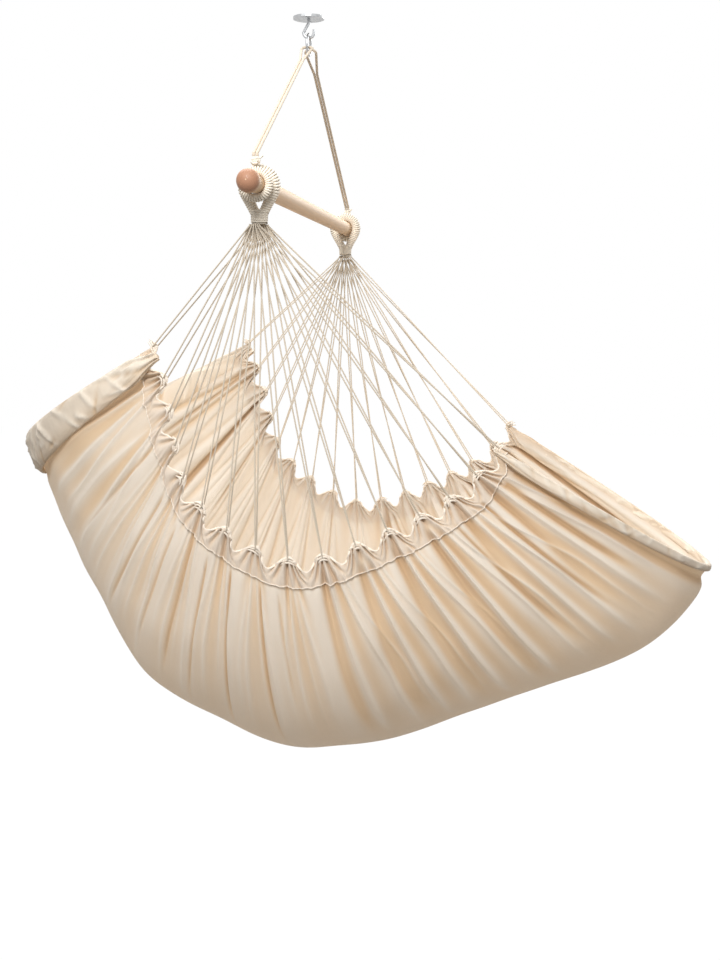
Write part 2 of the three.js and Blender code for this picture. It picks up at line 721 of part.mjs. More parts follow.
function addSide(sideName, side) {
  addSuspensionRope(sideName, side);
  addRopeKnot(sideName, side);
  addBarHitch(sideName, side);
  addFanEye(sideName, side);
  addCollar(sideName, side);
  addFan(sideName, side);
  addRolledRim(sideName, side < 0);
}

addCeilingPlate();
addCeilingHook();
addHangingRing();
addSpreaderBar();
addSide('near', -1);
addSide('far', 1);
addSeatCloth();
addSideBand('near', [0, 1]);
addSideBand('far', [lastRow - 1, lastRow]);
addHems();

export default root;
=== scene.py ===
"""Hammock chair: dressed model of a gathered cotton sling under a wooden spreader bar."""

import math

import bmesh
import bpy
import numpy as np
from mathutils import Matrix, Vector


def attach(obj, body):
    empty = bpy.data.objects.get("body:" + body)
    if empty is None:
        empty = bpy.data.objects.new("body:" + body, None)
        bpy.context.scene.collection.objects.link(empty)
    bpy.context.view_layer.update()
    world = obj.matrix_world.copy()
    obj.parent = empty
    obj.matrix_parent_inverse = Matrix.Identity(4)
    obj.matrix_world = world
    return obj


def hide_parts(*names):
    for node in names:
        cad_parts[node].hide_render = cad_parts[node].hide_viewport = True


bl_info = {
    "name": "Hammock chair",
    "version": (1, 0, 0),
    "blender": (4, 5, 0),
    "location": "3D View > Sidebar > Hammock chair",
    "description": "Builds a hanging cotton chair with its cords, bar and fittings",
    "category": "Add Mesh",
}

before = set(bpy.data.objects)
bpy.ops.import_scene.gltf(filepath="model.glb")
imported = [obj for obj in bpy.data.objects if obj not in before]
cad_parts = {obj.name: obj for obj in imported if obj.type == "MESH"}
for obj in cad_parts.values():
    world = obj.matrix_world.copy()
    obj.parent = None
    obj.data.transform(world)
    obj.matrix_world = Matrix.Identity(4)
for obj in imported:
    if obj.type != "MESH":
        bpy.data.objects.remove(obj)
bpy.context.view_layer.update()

MM = 0.001
CUT = "Cut"
SIDES = (("near", -1), ("far", 1))
UP = np.array([0.0, 0.0, 1.0])
BAR_AXIS = np.array([0.0, 1.0, 0.0])
HEAD_FOOT = np.array([1.0, 0.0, 0.0])
WHITE = (1, 1, 1, 1)

# The fan and the gathers
GATHERS = 16
LEG_LAYERS = 3
STEPS_PER_SCALLOP = 48
ROWS_PER_SIDE = 100
ROW_CROWDING = 1.25

# Outline of the rim and of the keel: shares of the run from head to foot and of the sag
EDGE_RUN_SHARES = (0, 0.04, 0.07, 0.11, 0.22, 0.37, 0.5, 0.65, 0.79, 0.91, 1)
EDGE_DROP_SHARES = (0, 0.18, 0.41, 0.66, 0.86, 1, 1, 0.91, 0.8, 0.67, 0.49)
KEEL_RUN_SHARES = (0, 0.035, 0.12, 0.2, 0.32, 0.425, 0.54, 0.68, 0.835, 0.93, 0.985, 1)
KEEL_DROP_SHARES = (0, 0.17, 0.53, 0.79, 0.93, 1, 0.965, 0.85, 0.72, 0.615, 0.475, 0.365)
ARC_DIVISIONS = 240
NEARLY_UPRIGHT = 0.95
RIM_STEP = 1 / 60
INWARD_STEP = 0.09
SCALLOP_POWER = 2.6
SCALLOP_FADE = 0.064
BELLY_SHARE = 0.985
HEAD_FLATNESS = 0.16
HEAD_CORNER_SHARE = 0.48
FOOT_CORNER_SHARE = 0.6

# Broad folds: how deep they are at these depths below the rim
FOLD_DEPTHS = (0, 0.07, 0.25, 0.45, 0.67, 0.8)
FOLD_SHARES = (0.1, 0.4, 0.3, 0.12, 0, 0)


def length(name, description, default):
    return bpy.props.FloatProperty(
        name=name, description=description, default=default, unit="LENGTH", precision=4
    )


def colour(name, description, default):
    return bpy.props.FloatVectorProperty(
        name=name, description=description, default=default, subtype="COLOR", size=3, min=0, max=1
    )


class HangerSizes(bpy.types.PropertyGroup):
    """Sizes of the bar, the ropes and what they hang from"""

    bar_diameter: length("Bar diameter", "Diameter of the wooden bar", 0.034)
    bar_drop: length("Bar drop", "Depth of the bar below the ceiling", 0.423)
    ball_diameter: length("Ball diameter", "Diameter of the bar's round ends", 0.044)
    ball_reach: length("Ball reach", "Distance from the middle to each ball", 0.61)
    ring_drop: length("Ring drop", "Depth of the ring's middle below the ceiling", 0.06)
    ring_radius: length("Ring radius", "Radius of the hanging ring", 0.022)
    ring_wire: length("Ring wire", "Diameter of the ring's wire", 0.007)
    rope_diameter: length("Rope diameter", "Diameter of one rope strand", 0.006)
    bight_radius: length("Bight radius", "Radius of the rope's bend in the ring", 0.012)
    bight_taper: length("Bight taper", "Run over which the strands come together", 0.07)
    hitch_reach: length("Hitch reach", "Distance from the middle to each hitch", 0.55)
    hitch_radius: length("Hitch radius", "Radius of the ring of cord round the bar", 0.02536)
    knot_length: length("Knot length", "Height of the knot over each hitch", 0.016)
    eye_reach: length("Eye reach", "Distance from the middle to each served eye", 0.52)
    eye_radius: length("Eye radius", "Radius of the served eye round the bar", 0.02936)
    collar_drop: length("Collar drop", "Depth of the collar's middle below the ceiling", 0.48)
    collar_height: length("Collar height", "Height of the wound collar", 0.027)
    collar_diameter: length("Collar diameter", "Diameter of the wound collar", 0.035)


class SlingSizes(bpy.types.PropertyGroup):
    """Sizes of the cotton sling and of the cords that gather it"""

    head_x: length("Head corner", "Distance of the head corners from the bar", 0.238)
    foot_x: length("Foot corner", "Distance of the foot corners from the bar", 0.44)
    head_drop: length("Head corner drop", "Depth of the head corners", 0.722)
    edge_sag: length("Edge sag", "Sag of the gathered edge", 0.41)
    head_half: length("Head half width", "Half the width at the head", 0.414)
    middle_half: length("Middle half width", "Half the width at the seat", 0.465)
    foot_half: length("Foot half width", "Half the width at the foot", 0.332)
    keel_head_x: length("Keel head", "Distance of the keel's head end from the bar", 0.664)
    keel_foot_x: length("Keel foot", "Distance of the keel's foot end from the bar", 0.9)
    keel_head_drop: length("Keel head drop", "Depth of the keel's head end", 0.946)
    keel_sag: length("Keel sag", "Sag of the keel", 0.708)
    fold_height: length("Fold height", "Height of the broad folds", 0.013)
    scallop_depth: length("Scallop depth", "Dip of the rim between two gathers", 0.029)
    band_depth: length("Band depth", "Width of the stitched side band", 0.058)
    rim_diameter: length("Rim diameter", "Diameter of the rolled rim", 0.0042)
    cord_diameter: length("Fan cord diameter", "Diameter of a fan cord", 0.003)
    head_hem: length("Head hem width", "Width of the crumpled head hem", 0.09)
    foot_hem: length("Foot hem width", "Width of the foot hem", 0.027)


class ChairColours(bpy.types.PropertyGroup):
    """Colours of the chair's materials"""

    cotton: colour("Cotton", "Lit side of the cotton cloth", (0.835, 0.775, 0.69))
    # Glow is the tint of the light let through the cloth, and also the painted warm shade mixed
    # into folds and beside the hems
    glow: colour("Glow", "Warm colour deep in the folds", (0.73, 0.55, 0.365))
    band: colour("Band", "Side band of doubled cloth", (0.74, 0.63, 0.52))
    thread: colour("Thread", "Rolled rim and stitching", (0.775, 0.69, 0.59))
    cord: colour("Cord", "Fan cords", (0.63, 0.55, 0.445))
    serving: colour("Serving", "Wound cord of eyes, hitches and collars", (0.90, 0.82, 0.70))
    rope: colour("Rope", "Suspension ropes", (0.62, 0.53, 0.42))
    birch: colour("Birch", "Side grain of the bar", (0.71, 0.50, 0.31))
    end_grain: colour("End grain", "Ends of the bar", (0.36, 0.18, 0.105))
    steel: colour("Steel", "Ring, hook and ceiling plate", (0.55, 0.56, 0.57))


def hanger():
    return bpy.context.scene.hammock_hanger


def sling():
    return bpy.context.scene.hammock_sling


def colours():
    return bpy.context.scene.hammock_colours


def tint_of(name):
    return tuple(getattr(colours(), name))


def toned(tint, factor, power=1):
    """A deeper or paler version of a tint."""
    return tuple(min(factor * v**power, 1) for v in tint)


# Materials


def arithmetic(operation, reflected=False):
    def work(self, value):
        pair = (value, self) if reflected else (self, value)
        return self.worked(operation, *pair)

    return work


class Link:
    """A node's output that takes part in arithmetic."""

    __add__, __radd__ = arithmetic("ADD"), arithmetic("ADD", True)
    __sub__, __rsub__ = arithmetic("SUBTRACT"), arithmetic("SUBTRACT", True)
    __mul__, __rmul__ = arithmetic("MULTIPLY"), arithmetic("MULTIPLY", True)
    __truediv__, __rtruediv__ = arithmetic("DIVIDE"), arithmetic("DIVIDE", True)
    __pow__ = arithmetic("POWER")

    def __init__(self, finish, node, output):
        self.finish = finish
        self.node = node
        self.socket = node.outputs[output]

    def other(self, output):
        return Link(self.finish, self.node, output)

    def worked(self, operation, *values):
        return self.finish.add("ShaderNodeMath", {"operation": operation}, dict(enumerate(values)))

    def sine(self):
        return self.worked("SINE", self)

    def step_over(self, value):
        return self.worked("GREATER_THAN", self, value)


class Finish:
    """The nodes of a material, or of the world."""

    MIX_FIRST = 6
    MIX_SECOND = 7
    MIX_RESULT = 2

    def __init__(self, name, holder=None):
        self.holder = holder or bpy.data.materials.new(name)
        self.holder.use_nodes = True
        self.tree = self.holder.node_tree
        self.tree.nodes.clear()

    def add(self, kind, settings=None, sockets=None, output=0):
        node = self.tree.nodes.new(kind)
        for key, value in (settings or {}).items():
            setattr(node, key, value)
        for key, value in (sockets or {}).items():
            if isinstance(value, Link):
                self.tree.links.new(value.socket, node.inputs[key])
            else:
                node.inputs[key].default_value = value
        return Link(self, node, output) if len(node.outputs) else node

    def place(self):
        return self.add("ShaderNodeTexCoord", output="Object")

    def flat(self):
        return self.add("ShaderNodeUVMap", {"uv_map": CUT})

    def parts(self, vector):
        split = self.add("ShaderNodeSeparateXYZ", sockets={0: vector})
        return split, split.other(1), split.other(2)

    def scaled(self, vector, scale):
        return self.add("ShaderNodeVectorMath", {"operation": "MULTIPLY"}, {0: vector, 1: scale})

    def noise(self, vector, scale, detail, roughness=0.5):
        """Noise with one scale, or with one for each axis."""
        if isinstance(scale, tuple):
            vector, scale = self.scaled(vector, scale), 1.0
        sockets = {"Vector": vector, "Scale": scale, "Detail": detail, "Roughness": roughness}
        return self.add("ShaderNodeTexNoise", sockets=sockets)

    def mix(self, share, first, second):
        first = first if isinstance(first, Link) else (*first, 1)
        second = second if isinstance(second, Link) else (*second, 1)
        sockets = {0: share, self.MIX_FIRST: first, self.MIX_SECOND: second}
        return self.add("ShaderNodeMix", {"data_type": "RGBA"}, sockets, self.MIX_RESULT)

    def shaded(self, tint, amount):
        """Multiplies a colour by a grey amount."""
        grey = self.add("ShaderNodeCombineXYZ", sockets=dict.fromkeys(range(3), amount))
        return self.scaled(tint, grey)

    def stored(self, name):
        return self.add("ShaderNodeAttribute", {"attribute_name": name}, output="Fac")

    def bump(self, height, distance, strength):
        sockets = {"Height": height, "Distance": distance, "Strength": strength}
        return self.add("ShaderNodeBump", sockets=sockets)

    def surface(self, tint, roughness, normal, sheen=0.0, metallic=0.0, coat=0.0):
        sockets = {"Base Color": tint if isinstance(tint, Link) else (*tint, 1)}
        sockets.update({"Roughness": roughness, "Normal": normal, "Metallic": metallic})
        sockets.update({"Sheen Weight": sheen, "Coat Weight": coat})
        return self.add("ShaderNodeBsdfPrincipled", sockets=sockets)

    def through(self, shader, tint, share):
        """Lets a share of the light through the cloth."""
        glow = self.add("ShaderNodeBsdfTranslucent", sockets={"Color": (*tint, 1)})
        return self.blended(share, shader, glow)

    def blended(self, share, first, second):
        return self.add("ShaderNodeMixShader", sockets={0: share, 1: first, 2: second})

    def seen(self):
        """1 where the camera sees a thing straight, in a mirror or through glass."""
        path = self.add("ShaderNodeLightPath", output="Is Camera Ray")
        mirrored = path.worked("MAXIMUM", path, path.other("Is Glossy Ray"))
        return path.worked("MAXIMUM", mirrored, path.other("Is Transmission Ray"))

    def close(self, shader):
        self.add("ShaderNodeOutputMaterial", sockets={"Surface": shader})
        return self.holder


WEAVE_PITCH = 0.0016
SLUB_SCALE = (900, 40, 1)
CREASE_SCALE = (34, 11, 1)
CLOTH_RELIEF = 0.0016


def weave(finish):
    """Warp and weft of a plain weave, as a height from -1 to 1."""
    across, along, _ = finish.parts(finish.flat())
    turns = 2 * math.pi / WEAVE_PITCH
    warp = (across * turns).sine()
    weft = (along * turns).sine()
    return warp * weft


def cotton_finish(name, tint, clear_share, mottle):
    """Plain-weave cotton with slubs and soft creases, with painted warm and brown shade in its
    folds.
    """
    finish = Finish(name)
    glow = tint_of("glow")
    cut = finish.flat()
    valley = finish.stored("valley")
    band = finish.stored("band")
    slub = finish.noise(cut, SLUB_SCALE, 3)
    cloud = finish.noise(finish.place(), mottle, 3)
    crease = finish.noise(cut, CREASE_SCALE, 4, 0.62)
    tone = 0.9 + slub * 0.1 + cloud * 0.12
    # Painted warm shade in the valleys, then painted brown shade in the tightest folds and beside
    # the hems
    warm = finish.mix(valley, tint, glow)
    warm = finish.mix(finish.stored("deep") * 0.8, warm, toned(glow, 0.75, 2))
    warm = finish.mix(band * 0.45, warm, tint_of("band"))
    coloured = finish.shaded(warm, tone)
    height = weave(finish) * 0.12 + crease * 1.6 + slub * 0.25
    normal = finish.bump(height, CLOTH_RELIEF, 0.75)
    roughness = 0.82 + slub * 0.12
    shader = finish.surface(coloured, roughness, normal, sheen=0.12)
    share = clear_share - band * (clear_share * 0.4)
    return finish.close(finish.through(shader, glow, share))


def thread_finish(name, tint, pitch, strands, groove_shade_share, height):
    """Twisted cotton cord: slanted strands, with painted shade in the grooves between strands and
    between turns.
    """
    finish = Finish(name)
    run, round_share, _ = finish.parts(finish.flat())
    slant = run * (2 * math.pi / pitch) + round_share * (2 * math.pi * strands)
    groove = slant.sine() * 0.5 + 0.5
    fuzz = finish.noise(finish.place(), 900, 2)
    patch = finish.noise(finish.place(), 60, 2)
    # Painted shade in the grooves between the strands
    tone = (1 - groove_shade_share) + groove * (groove_shade_share * 0.75) + fuzz * 0.12 + patch * 0.14
    # Painted shade between the turns of a winding, read from its groove attribute
    groove_shaded = finish.mix(finish.stored("groove") * 0.85, tint, toned(tint, 0.42, 2))
    coloured = finish.shaded(groove_shaded, tone)
    normal = finish.bump(groove + fuzz * 0.4, height * MM, 0.9)
    shader = finish.surface(coloured, 0.86 + fuzz * 0.1, normal, sheen=0.15)
    return finish.close(shader)


GRAIN_SCALE = (260, 5, 260)
FLECK_SCALE = (900, 60, 900)
RINGS_A_METRE = 2600
RING_WOBBLE = 0.0016
HEART_RADIUS = 0.0012


def birch_finish(name, ball_reach, ball_radius):
    """Pale birch with long grain, and darker ringed end grain on the ball ends."""
    finish = Finish(name)
    side_tint, end_tint = tint_of("birch"), tint_of("end_grain")
    place = finish.place()
    x, y, z = finish.parts(place)
    drop = z + hanger().bar_drop
    radius = (x * x + drop * drop) ** 0.5
    grain = finish.noise(place, GRAIN_SCALE, 4, 0.6)
    fleck = finish.noise(place, FLECK_SCALE, 2)
    cloud = finish.noise(place, 14, 2)
    long_tone = 0.74 + grain * 0.38 + fleck * 0.12
    side = finish.mix(cloud * 0.5, side_tint, toned(side_tint, 0.82))
    wobble = finish.noise(place, 90, 2) * RING_WOBBLE
    rings = ((radius + wobble) * RINGS_A_METRE).sine() * 0.5 + 0.5
    heart = 1 - (radius - HEART_RADIUS).step_over(0.0)
    ends = finish.mix(rings * 0.35, end_tint, toned(end_tint, 1.45))
    ends = finish.mix(heart, ends, side_tint)
    reach = y.worked("ABSOLUTE", y)
    span = (reach - (ball_reach - ball_radius * 0.25)) / (ball_radius * 0.7)
    blend = finish.add("ShaderNodeClamp", sockets={"Value": span})
    coloured = finish.shaded(finish.mix(blend, side, ends), long_tone)
    normal = finish.bump(grain * 0.7 + fleck * 0.3, 0.4 * MM, 0.6)
    shader = finish.surface(coloured, 0.5 + grain * 0.16, normal, coat=0.03)
    return finish.close(shader)


BRUSH_SCALE = (500, 500, 40)


def steel_finish(name, tint):
    """Brushed zinc-plated steel."""
    finish = Finish(name)
    place = finish.place()
    brush = finish.noise(place, BRUSH_SCALE, 3)
    wear = finish.noise(place, 120, 3)
    worn = finish.mix(wear * 0.4, tint, toned(tint, 0.7))
    coloured = finish.shaded(worn, 0.85 + brush * 0.2)
    normal = finish.bump(brush, 0.2 * MM, 0.5)
    shader = finish.surface(coloured, 0.28 + wear * 0.2, normal, metallic=1.0)
    return finish.close(shader)


# Meshes


def shell(name, grid, uv, wrap_across=False, caps=False, stored=None):
    """A mesh over a grid of points, with a UV in metres and values stored on its points."""
    rows, columns = grid.shape[:2]
    points = grid.reshape(-1, 3)
    last = columns if wrap_across else columns - 1
    row = np.arange(rows - 1)[:, None] * columns
    here = np.arange(last)[None, :]
    after = (here + 1) % columns
    corners = (row + here, row + after, row + columns + after, row + columns + here)
    faces = np.stack(corners, -1).reshape(-1, 4)
    mesh = bpy.data.meshes.new(name)
    loops = faces.reshape(-1)
    start = np.arange(len(faces)) * 4
    total = len(loops)
    mesh.vertices.add(len(points))
    mesh.vertices.foreach_set("co", points.astype(np.float32).ravel())
    if caps:
        ring = np.arange(columns)
        loops = np.concatenate([loops, ring[::-1], ring + (rows - 1) * columns])
        start = np.concatenate([start, [total, total + columns]])
    mesh.loops.add(len(loops))
    mesh.loops.foreach_set("vertex_index", loops.astype(np.int32))
    mesh.polygons.add(len(start))
    mesh.polygons.foreach_set("loop_start", start.astype(np.int32))
    mesh.update(calc_edges=True)
    layer = mesh.uv_layers.new(name=CUT)
    flat = uv.reshape(-1, 2)[loops]
    if wrap_across:
        seam = np.zeros((rows - 1, last, 4), bool)
        seam[:, -1, 1:3] = True
        flat[:total][seam.reshape(-1), 1] += 1
    layer.data.foreach_set("uv", flat.astype(np.float32).ravel())
    for key, values in (stored or {}).items():
        attribute = mesh.attributes.new(key, "FLOAT", "POINT")
        attribute.data.foreach_set("value", values.astype(np.float32).ravel())
    mesh.polygons.foreach_set("use_smooth", np.ones(len(start), bool))
    mesh.validate()
    return mesh


def rod(name, grid, uv, stored=None):
    """A shell that closes round its run and at both ends."""
    return shell(name, grid, uv, wrap_across=True, caps=True, stored=stored)


def piece(name, mesh, finish, body, slot, *replaced):
    thing = bpy.data.objects.new(name, mesh)
    bpy.context.scene.collection.objects.link(thing)
    mesh.materials.append(finish)
    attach(thing, body)
    if replaced:
        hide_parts(*replaced)
    return thing


def run_along(points):
    """Distance from the start of a route to each of its points."""
    steps = np.linalg.norm(np.diff(points, axis=0), axis=1)
    return np.concatenate([[0], np.cumsum(steps)])


def stacked(*parts):
    """Coordinates side by side: two make a UV, three make a place."""
    return np.stack(np.broadcast_arrays(*parts), -1)


def circle(count):
    """Angles once round, as a row."""
    return np.linspace(0, 2 * np.pi, count, endpoint=False)[None, :]


def between(places, run, points):
    """Points at places measured along a run, from the points of that run."""
    return np.stack([np.interp(places, run, column) for column in points.T], 1)


def resampled(points, spacing):
    """Points at an even spacing along a route."""
    points = np.asarray(points, float)
    run = run_along(points)
    count = max(3, int(round(run[-1] / spacing)) + 1)
    return between(np.linspace(0, run[-1], count), run, points)


def frames_along(points):
    """Two directions square to a route, carried along it without twist."""
    tangents = np.gradient(points, axis=0)
    tangents /= np.linalg.norm(tangents, axis=1)[:, None]
    current = HEAD_FOOT if abs(UP @ tangents[0]) > NEARLY_UPRIGHT else UP
    across = np.empty_like(points)
    for k, tangent in enumerate(tangents):
        current = current - tangent * (current @ tangent)
        current = current / np.linalg.norm(current)
        across[k] = current
    return across, np.cross(tangents, across)


def tube_grid(points, radius, sides, lay=None):
    """Rings round a route. A lay of (strands, pitch, groove share) twists the section."""
    across, up = frames_along(points)
    run = run_along(points)
    angle = circle(sides)
    reach = np.broadcast_to(np.asarray(radius, float).reshape(-1, 1), (len(points), sides)).copy()
    if lay:
        strands, pitch, groove = lay
        wave = np.abs(np.cos(strands / 2 * angle - np.pi * strands * run[:, None] / pitch))
        reach *= 1 - groove + groove * wave
    ring = across[:, None] * np.cos(angle)[..., None] + up[:, None] * np.sin(angle)[..., None]
    return points[:, None] + ring * reach[..., None], stacked(run[:, None], angle / (2 * np.pi))


def tube(name, points, radius, sides, lay=None):
    return rod(name, *tube_grid(np.asarray(points, float), radius, sides, lay))


def merged(name, meshes):
    """One mesh from several, which are dropped."""
    result = bmesh.new()
    for mesh in meshes:
        result.from_mesh(mesh)
    whole = bpy.data.meshes.new(name)
    result.to_mesh(whole)
    result.free()
    for mesh in meshes:
        bpy.data.meshes.remove(mesh)
    return whole


# Curves


def unit(vectors):
    return vectors / np.maximum(np.linalg.norm(vectors, axis=-1), 1e-9)[..., None]


def smooth_step(value, low, high):
    share = np.clip((value - low) / (high - low), 0, 1)
    return share * share * (3 - 2 * share)


def bell(value, width, power=2):
    """1 where the value is 0, fading to 0 on both sides."""
    return np.exp(-(np.abs(value / width) ** power))


def fullness(across):
    """0 at the rims and 1 at the keel."""
    return np.sin(np.asarray(across) * np.pi / 2)


# The sling's surface


class SagLine:
    """A smooth line in the XZ plane, measured by its arc length."""

    def __init__(self, run_shares, drop_shares, head_x, foot_x, head_drop, sag):
        runs = np.array(run_shares, float)
        drops = np.array(drop_shares, float)
        self.points = stacked(-head_x + (foot_x + head_x) * runs, -head_drop - sag * drops)
        self.times = np.linspace(0, 1, ARC_DIVISIONS + 1)
        self.lengths = run_along(self.spline(self.times))

    def spline(self, time):
        last = len(self.points) - 1
        place = np.clip(time, 0, 1) * last
        index = np.minimum(place.astype(int), last - 1)
        share = (place - index)[..., None]
        before = self.points[np.maximum(index - 1, 0)]
        here = self.points[index]
        after = self.points[index + 1]
        beyond = self.points[np.minimum(index + 2, last)]
        slope = (after - before) / 2
        next_slope = (beyond - here) / 2
        cube = (2 * here - 2 * after + slope + next_slope) * share**3
        square = (-3 * here + 3 * after - 2 * slope - next_slope) * share**2
        return cube + square + slope * share + here

    def at(self, along):
        reached = np.clip(along, 0, 1) * self.lengths[-1]
        return self.spline(np.interp(reached, self.lengths, self.times))


def edge_line():
    s = sling()
    return SagLine(EDGE_RUN_SHARES, EDGE_DROP_SHARES, s.head_x, s.foot_x, s.head_drop, s.edge_sag)


def keel_line():
    s = sling()
    ends = s.keel_head_x, s.keel_foot_x, s.keel_head_drop
    return SagLine(KEEL_RUN_SHARES, KEEL_DROP_SHARES, *ends, s.keel_sag)


def sling_points(along, across):
    """Places on the smooth sling; across runs from 0 at the near rim to 2 at the far rim."""
    s = sling()
    along, across = np.broadcast_arrays(np.asarray(along, float), np.asarray(across, float))
    edge = edge_line().at(along)
    keel = keel_line().at(along)
    end_width = s.head_half + (s.foot_half - s.head_half) * along
    half = end_width + (s.middle_half - (s.head_half + s.foot_half) / 2) * np.sin(np.pi * along)
    angle = across * np.pi / 2
    flat = HEAD_FLATNESS * (1 - smooth_step(along, 0.0, 0.22))
    sink = np.sin(angle) * (1 - flat) + (1 - np.abs(1 - across)) * flat
    aside = np.cos(angle) * (1 - flat) + (1 - across) * flat
    middle = edge + (keel - edge) * (BELLY_SHARE * sink)[..., None]
    return stacked(middle[..., 0], -half * aside, middle[..., 1])


def rim_frames(along, side):
    """Rim places with the runs inward, square to the rim, and along it."""
    rim_across = 0.0 if side < 0 else 2.0
    rim = sling_points(along, rim_across)
    after = sling_points(np.minimum(along + RIM_STEP, 1), rim_across)
    run = unit(after - sling_points(np.maximum(along - RIM_STEP, 0), rim_across))
    inner = sling_points(along, rim_across - side * INWARD_STEP) - rim
    inward = unit(inner - run * np.sum(inner * run, -1)[..., None])
    return rim, inward, run


def scallop_dip(phase):
    """Depth of the rim below the smooth edge: peaks at the gathers, round between them."""
    return sling().scallop_depth * np.abs(np.sin(np.pi * phase)) ** SCALLOP_POWER


# Pleats below a gather: they fan out from a source above the rim
PLEAT_COUNTS = (7, 10)
PLEAT_SPREAD = 0.082
PLEAT_SOURCE = 0.022
PLEAT_HEIGHT = 0.0088
PLEAT_START = (0.018, 0.032)
PLEAT_REACH = 0.1


def gather_pleats(phase, depth, seed):
    """Small sharp pleats that fan out from each gather."""
    rng = np.random.default_rng(seed)
    twist = rng.uniform(0, 2 * np.pi, GATHERS)
    count = rng.uniform(*PLEAT_COUNTS, GATHERS)
    rise = rng.uniform(0.75, 1.25, GATHERS)
    index = np.clip(np.rint(phase), 0, GATHERS - 1).astype(int)
    sideways = (phase - index) * PLEAT_SPREAD
    down = depth + PLEAT_SOURCE
    angle = np.arctan2(sideways, down)
    reach = np.hypot(sideways, down)
    window = np.cos(np.clip(np.abs(phase - index) * 2, 0, 1) * np.pi / 2) ** 0.8
    bend = twist[index] + 0.7 * np.sin(4.3 * angle + twist[index])
    wave = np.abs(np.sin(count[index] * angle + bend)) * 1.6 - 1.0
    fade = smooth_step(reach, *PLEAT_START) * bell(reach, PLEAT_REACH)
    return PLEAT_HEIGHT * wave * rise[index] * window * fade


# Ridges below one gather: place, height, width in scallops, and reach into the belly
HEAD_RIDGES = ((-0.25, 0.011, 0.12, 0.85), (0.22, 0.013, 0.13, 0.9), (0.5, 0.006, 0.07, 0.7))
SEAT_RIDGES = (
    (-0.34, 0.0042, 0.05, 0.6),
    (-0.12, 0.0055, 0.045, 0.72),
    (0.1, 0.004, 0.04, 0.55),
    (0.32, 0.006, 0.05, 0.8),
)
FOOT_RIDGES = (
    (0.1, 0.017, 0.075, 1.1),
    (0.5, 0.009, 0.05, 0.9),
    (-0.2, -0.008, 0.1, 0.8),
    (0.78, 0.005, 0.04, 0.7),
)
SEAT_FIRST, FOOT_FIRST = 3, 9
# The ridges of each stretch, and the share of their reach at full height
RIDGES = ((HEAD_RIDGES, 0.5), (SEAT_RIDGES, 0.3), (FOOT_RIDGES, 0.5))


def long_pleats(phase, depth, seed):
    """Ridges that start at the gathers, spread apart and fade into the belly."""
    rng = np.random.default_rng(seed)
    height = np.zeros_like(depth)
    for gather in range(GATHERS):
        ridges, hold = RIDGES[(gather >= SEAT_FIRST) + (gather >= FOOT_FIRST)]
        for offset, peak, wide, reach in ridges:
            offset = offset + rng.uniform(-0.05, 0.05)
            reach = reach * rng.uniform(0.65, 1.05)
            peak = peak * rng.uniform(0.6, 1.15)
            slant = rng.uniform(-0.14, 0.14)
            spread = 0.5 + 0.7 * smooth_step(depth, 0.0, 0.3)
            middle = gather + offset * spread + slant * np.clip(depth, 0, reach)
            width = wide * (0.75 + 1.1 * np.clip(depth, 0, 0.6))
            fade = smooth_step(depth, 0.01, 0.06) * (1 - smooth_step(depth, reach * hold, reach))
            height += peak * bell(phase - middle, width, 1.5) * fade
    return height


# Sharp creases: place from the head, slant, start depth, end depth, height, width
NEAR_CREASES = (
    (3.6, -0.5, 0.05, 0.55, -0.006, 0.05),
    (4.45, -0.3, 0.06, 0.5, -0.005, 0.045),
    (5.05, -0.2, 0.05, 0.5, -0.006, 0.03),
    (5.6, -0.15, 0.06, 0.62, -0.006, 0.03),
    (6.3, 0.1, 0.05, 0.7, -0.008, 0.03),
    (7.15, 0.25, 0.05, 0.66, -0.007, 0.03),
    (7.65, 0.2, 0.06, 0.4, -0.004, 0.035),
    (2.4, -0.6, 0.04, 0.45, -0.006, 0.06),
    (12.6, 0.4, 0.03, 0.5, -0.006, 0.06),
    (13.5, 0.3, 0.02, 0.5, -0.008, 0.06),
    (14.3, 0.2, 0.02, 0.45, -0.008, 0.06),
)
FAR_CREASES = (
    (2.05, 0.9, 0.01, 0.5, 0.014, 0.07),
    (3.1, 0.7, 0.02, 0.34, 0.007, 0.05),
    (0.9, 0.4, 0.02, 0.4, 0.008, 0.06),
    (5.0, 0.1, 0.02, 0.36, 0.006, 0.045),
    (7.0, 0.0, 0.02, 0.3, 0.006, 0.045),
    (9.0, 0.0, 0.02, 0.3, 0.007, 0.045),
    (12.3, 0.25, 0.02, 0.4, 0.012, 0.06),
    (13.2, 0.3, 0.01, 0.5, 0.018, 0.06),
    (13.9, 0.35, 0.01, 0.6, 0.02, 0.06),
    (14.4, 0.25, 0.01, 0.6, 0.018, 0.05),
)


def creases(phase, depth, lines):
    """Narrow valleys and ridges from a table."""
    height = np.zeros_like(depth)
    for place, slant, start, end, peak, width in lines:
        middle = place + slant * (depth - start)
        fade = smooth_step(depth, start, start + 0.05) * (1 - smooth_step(depth, end * 0.6, end))
        height += peak * bell(phase - middle, width) * fade
    return height


def broad_folds(phase, depth):
    """One soft swell for each gather, fading down the cloth."""
    share = np.interp(depth, FOLD_DEPTHS, FOLD_SHARES)
    return -np.cos(2 * np.pi * phase) * sling().fold_height * share


BELLY_WAVES = 14
BELLY_WAVE_HEIGHT = 0.5 * MM


def belly_waves(along, across, seed):
    """Very soft unevenness of the tight cloth under the belly."""
    rng = np.random.default_rng(seed)
    total = np.zeros(np.broadcast(along, across).shape)
    for _ in range(BELLY_WAVES):
        turns = rng.uniform(2, 9, 2)
        shift = rng.uniform(0, 2 * np.pi)
        total += np.sin(2 * np.pi * (turns[0] * along + turns[1] * across / 2) + shift)
    return total * BELLY_WAVE_HEIGHT


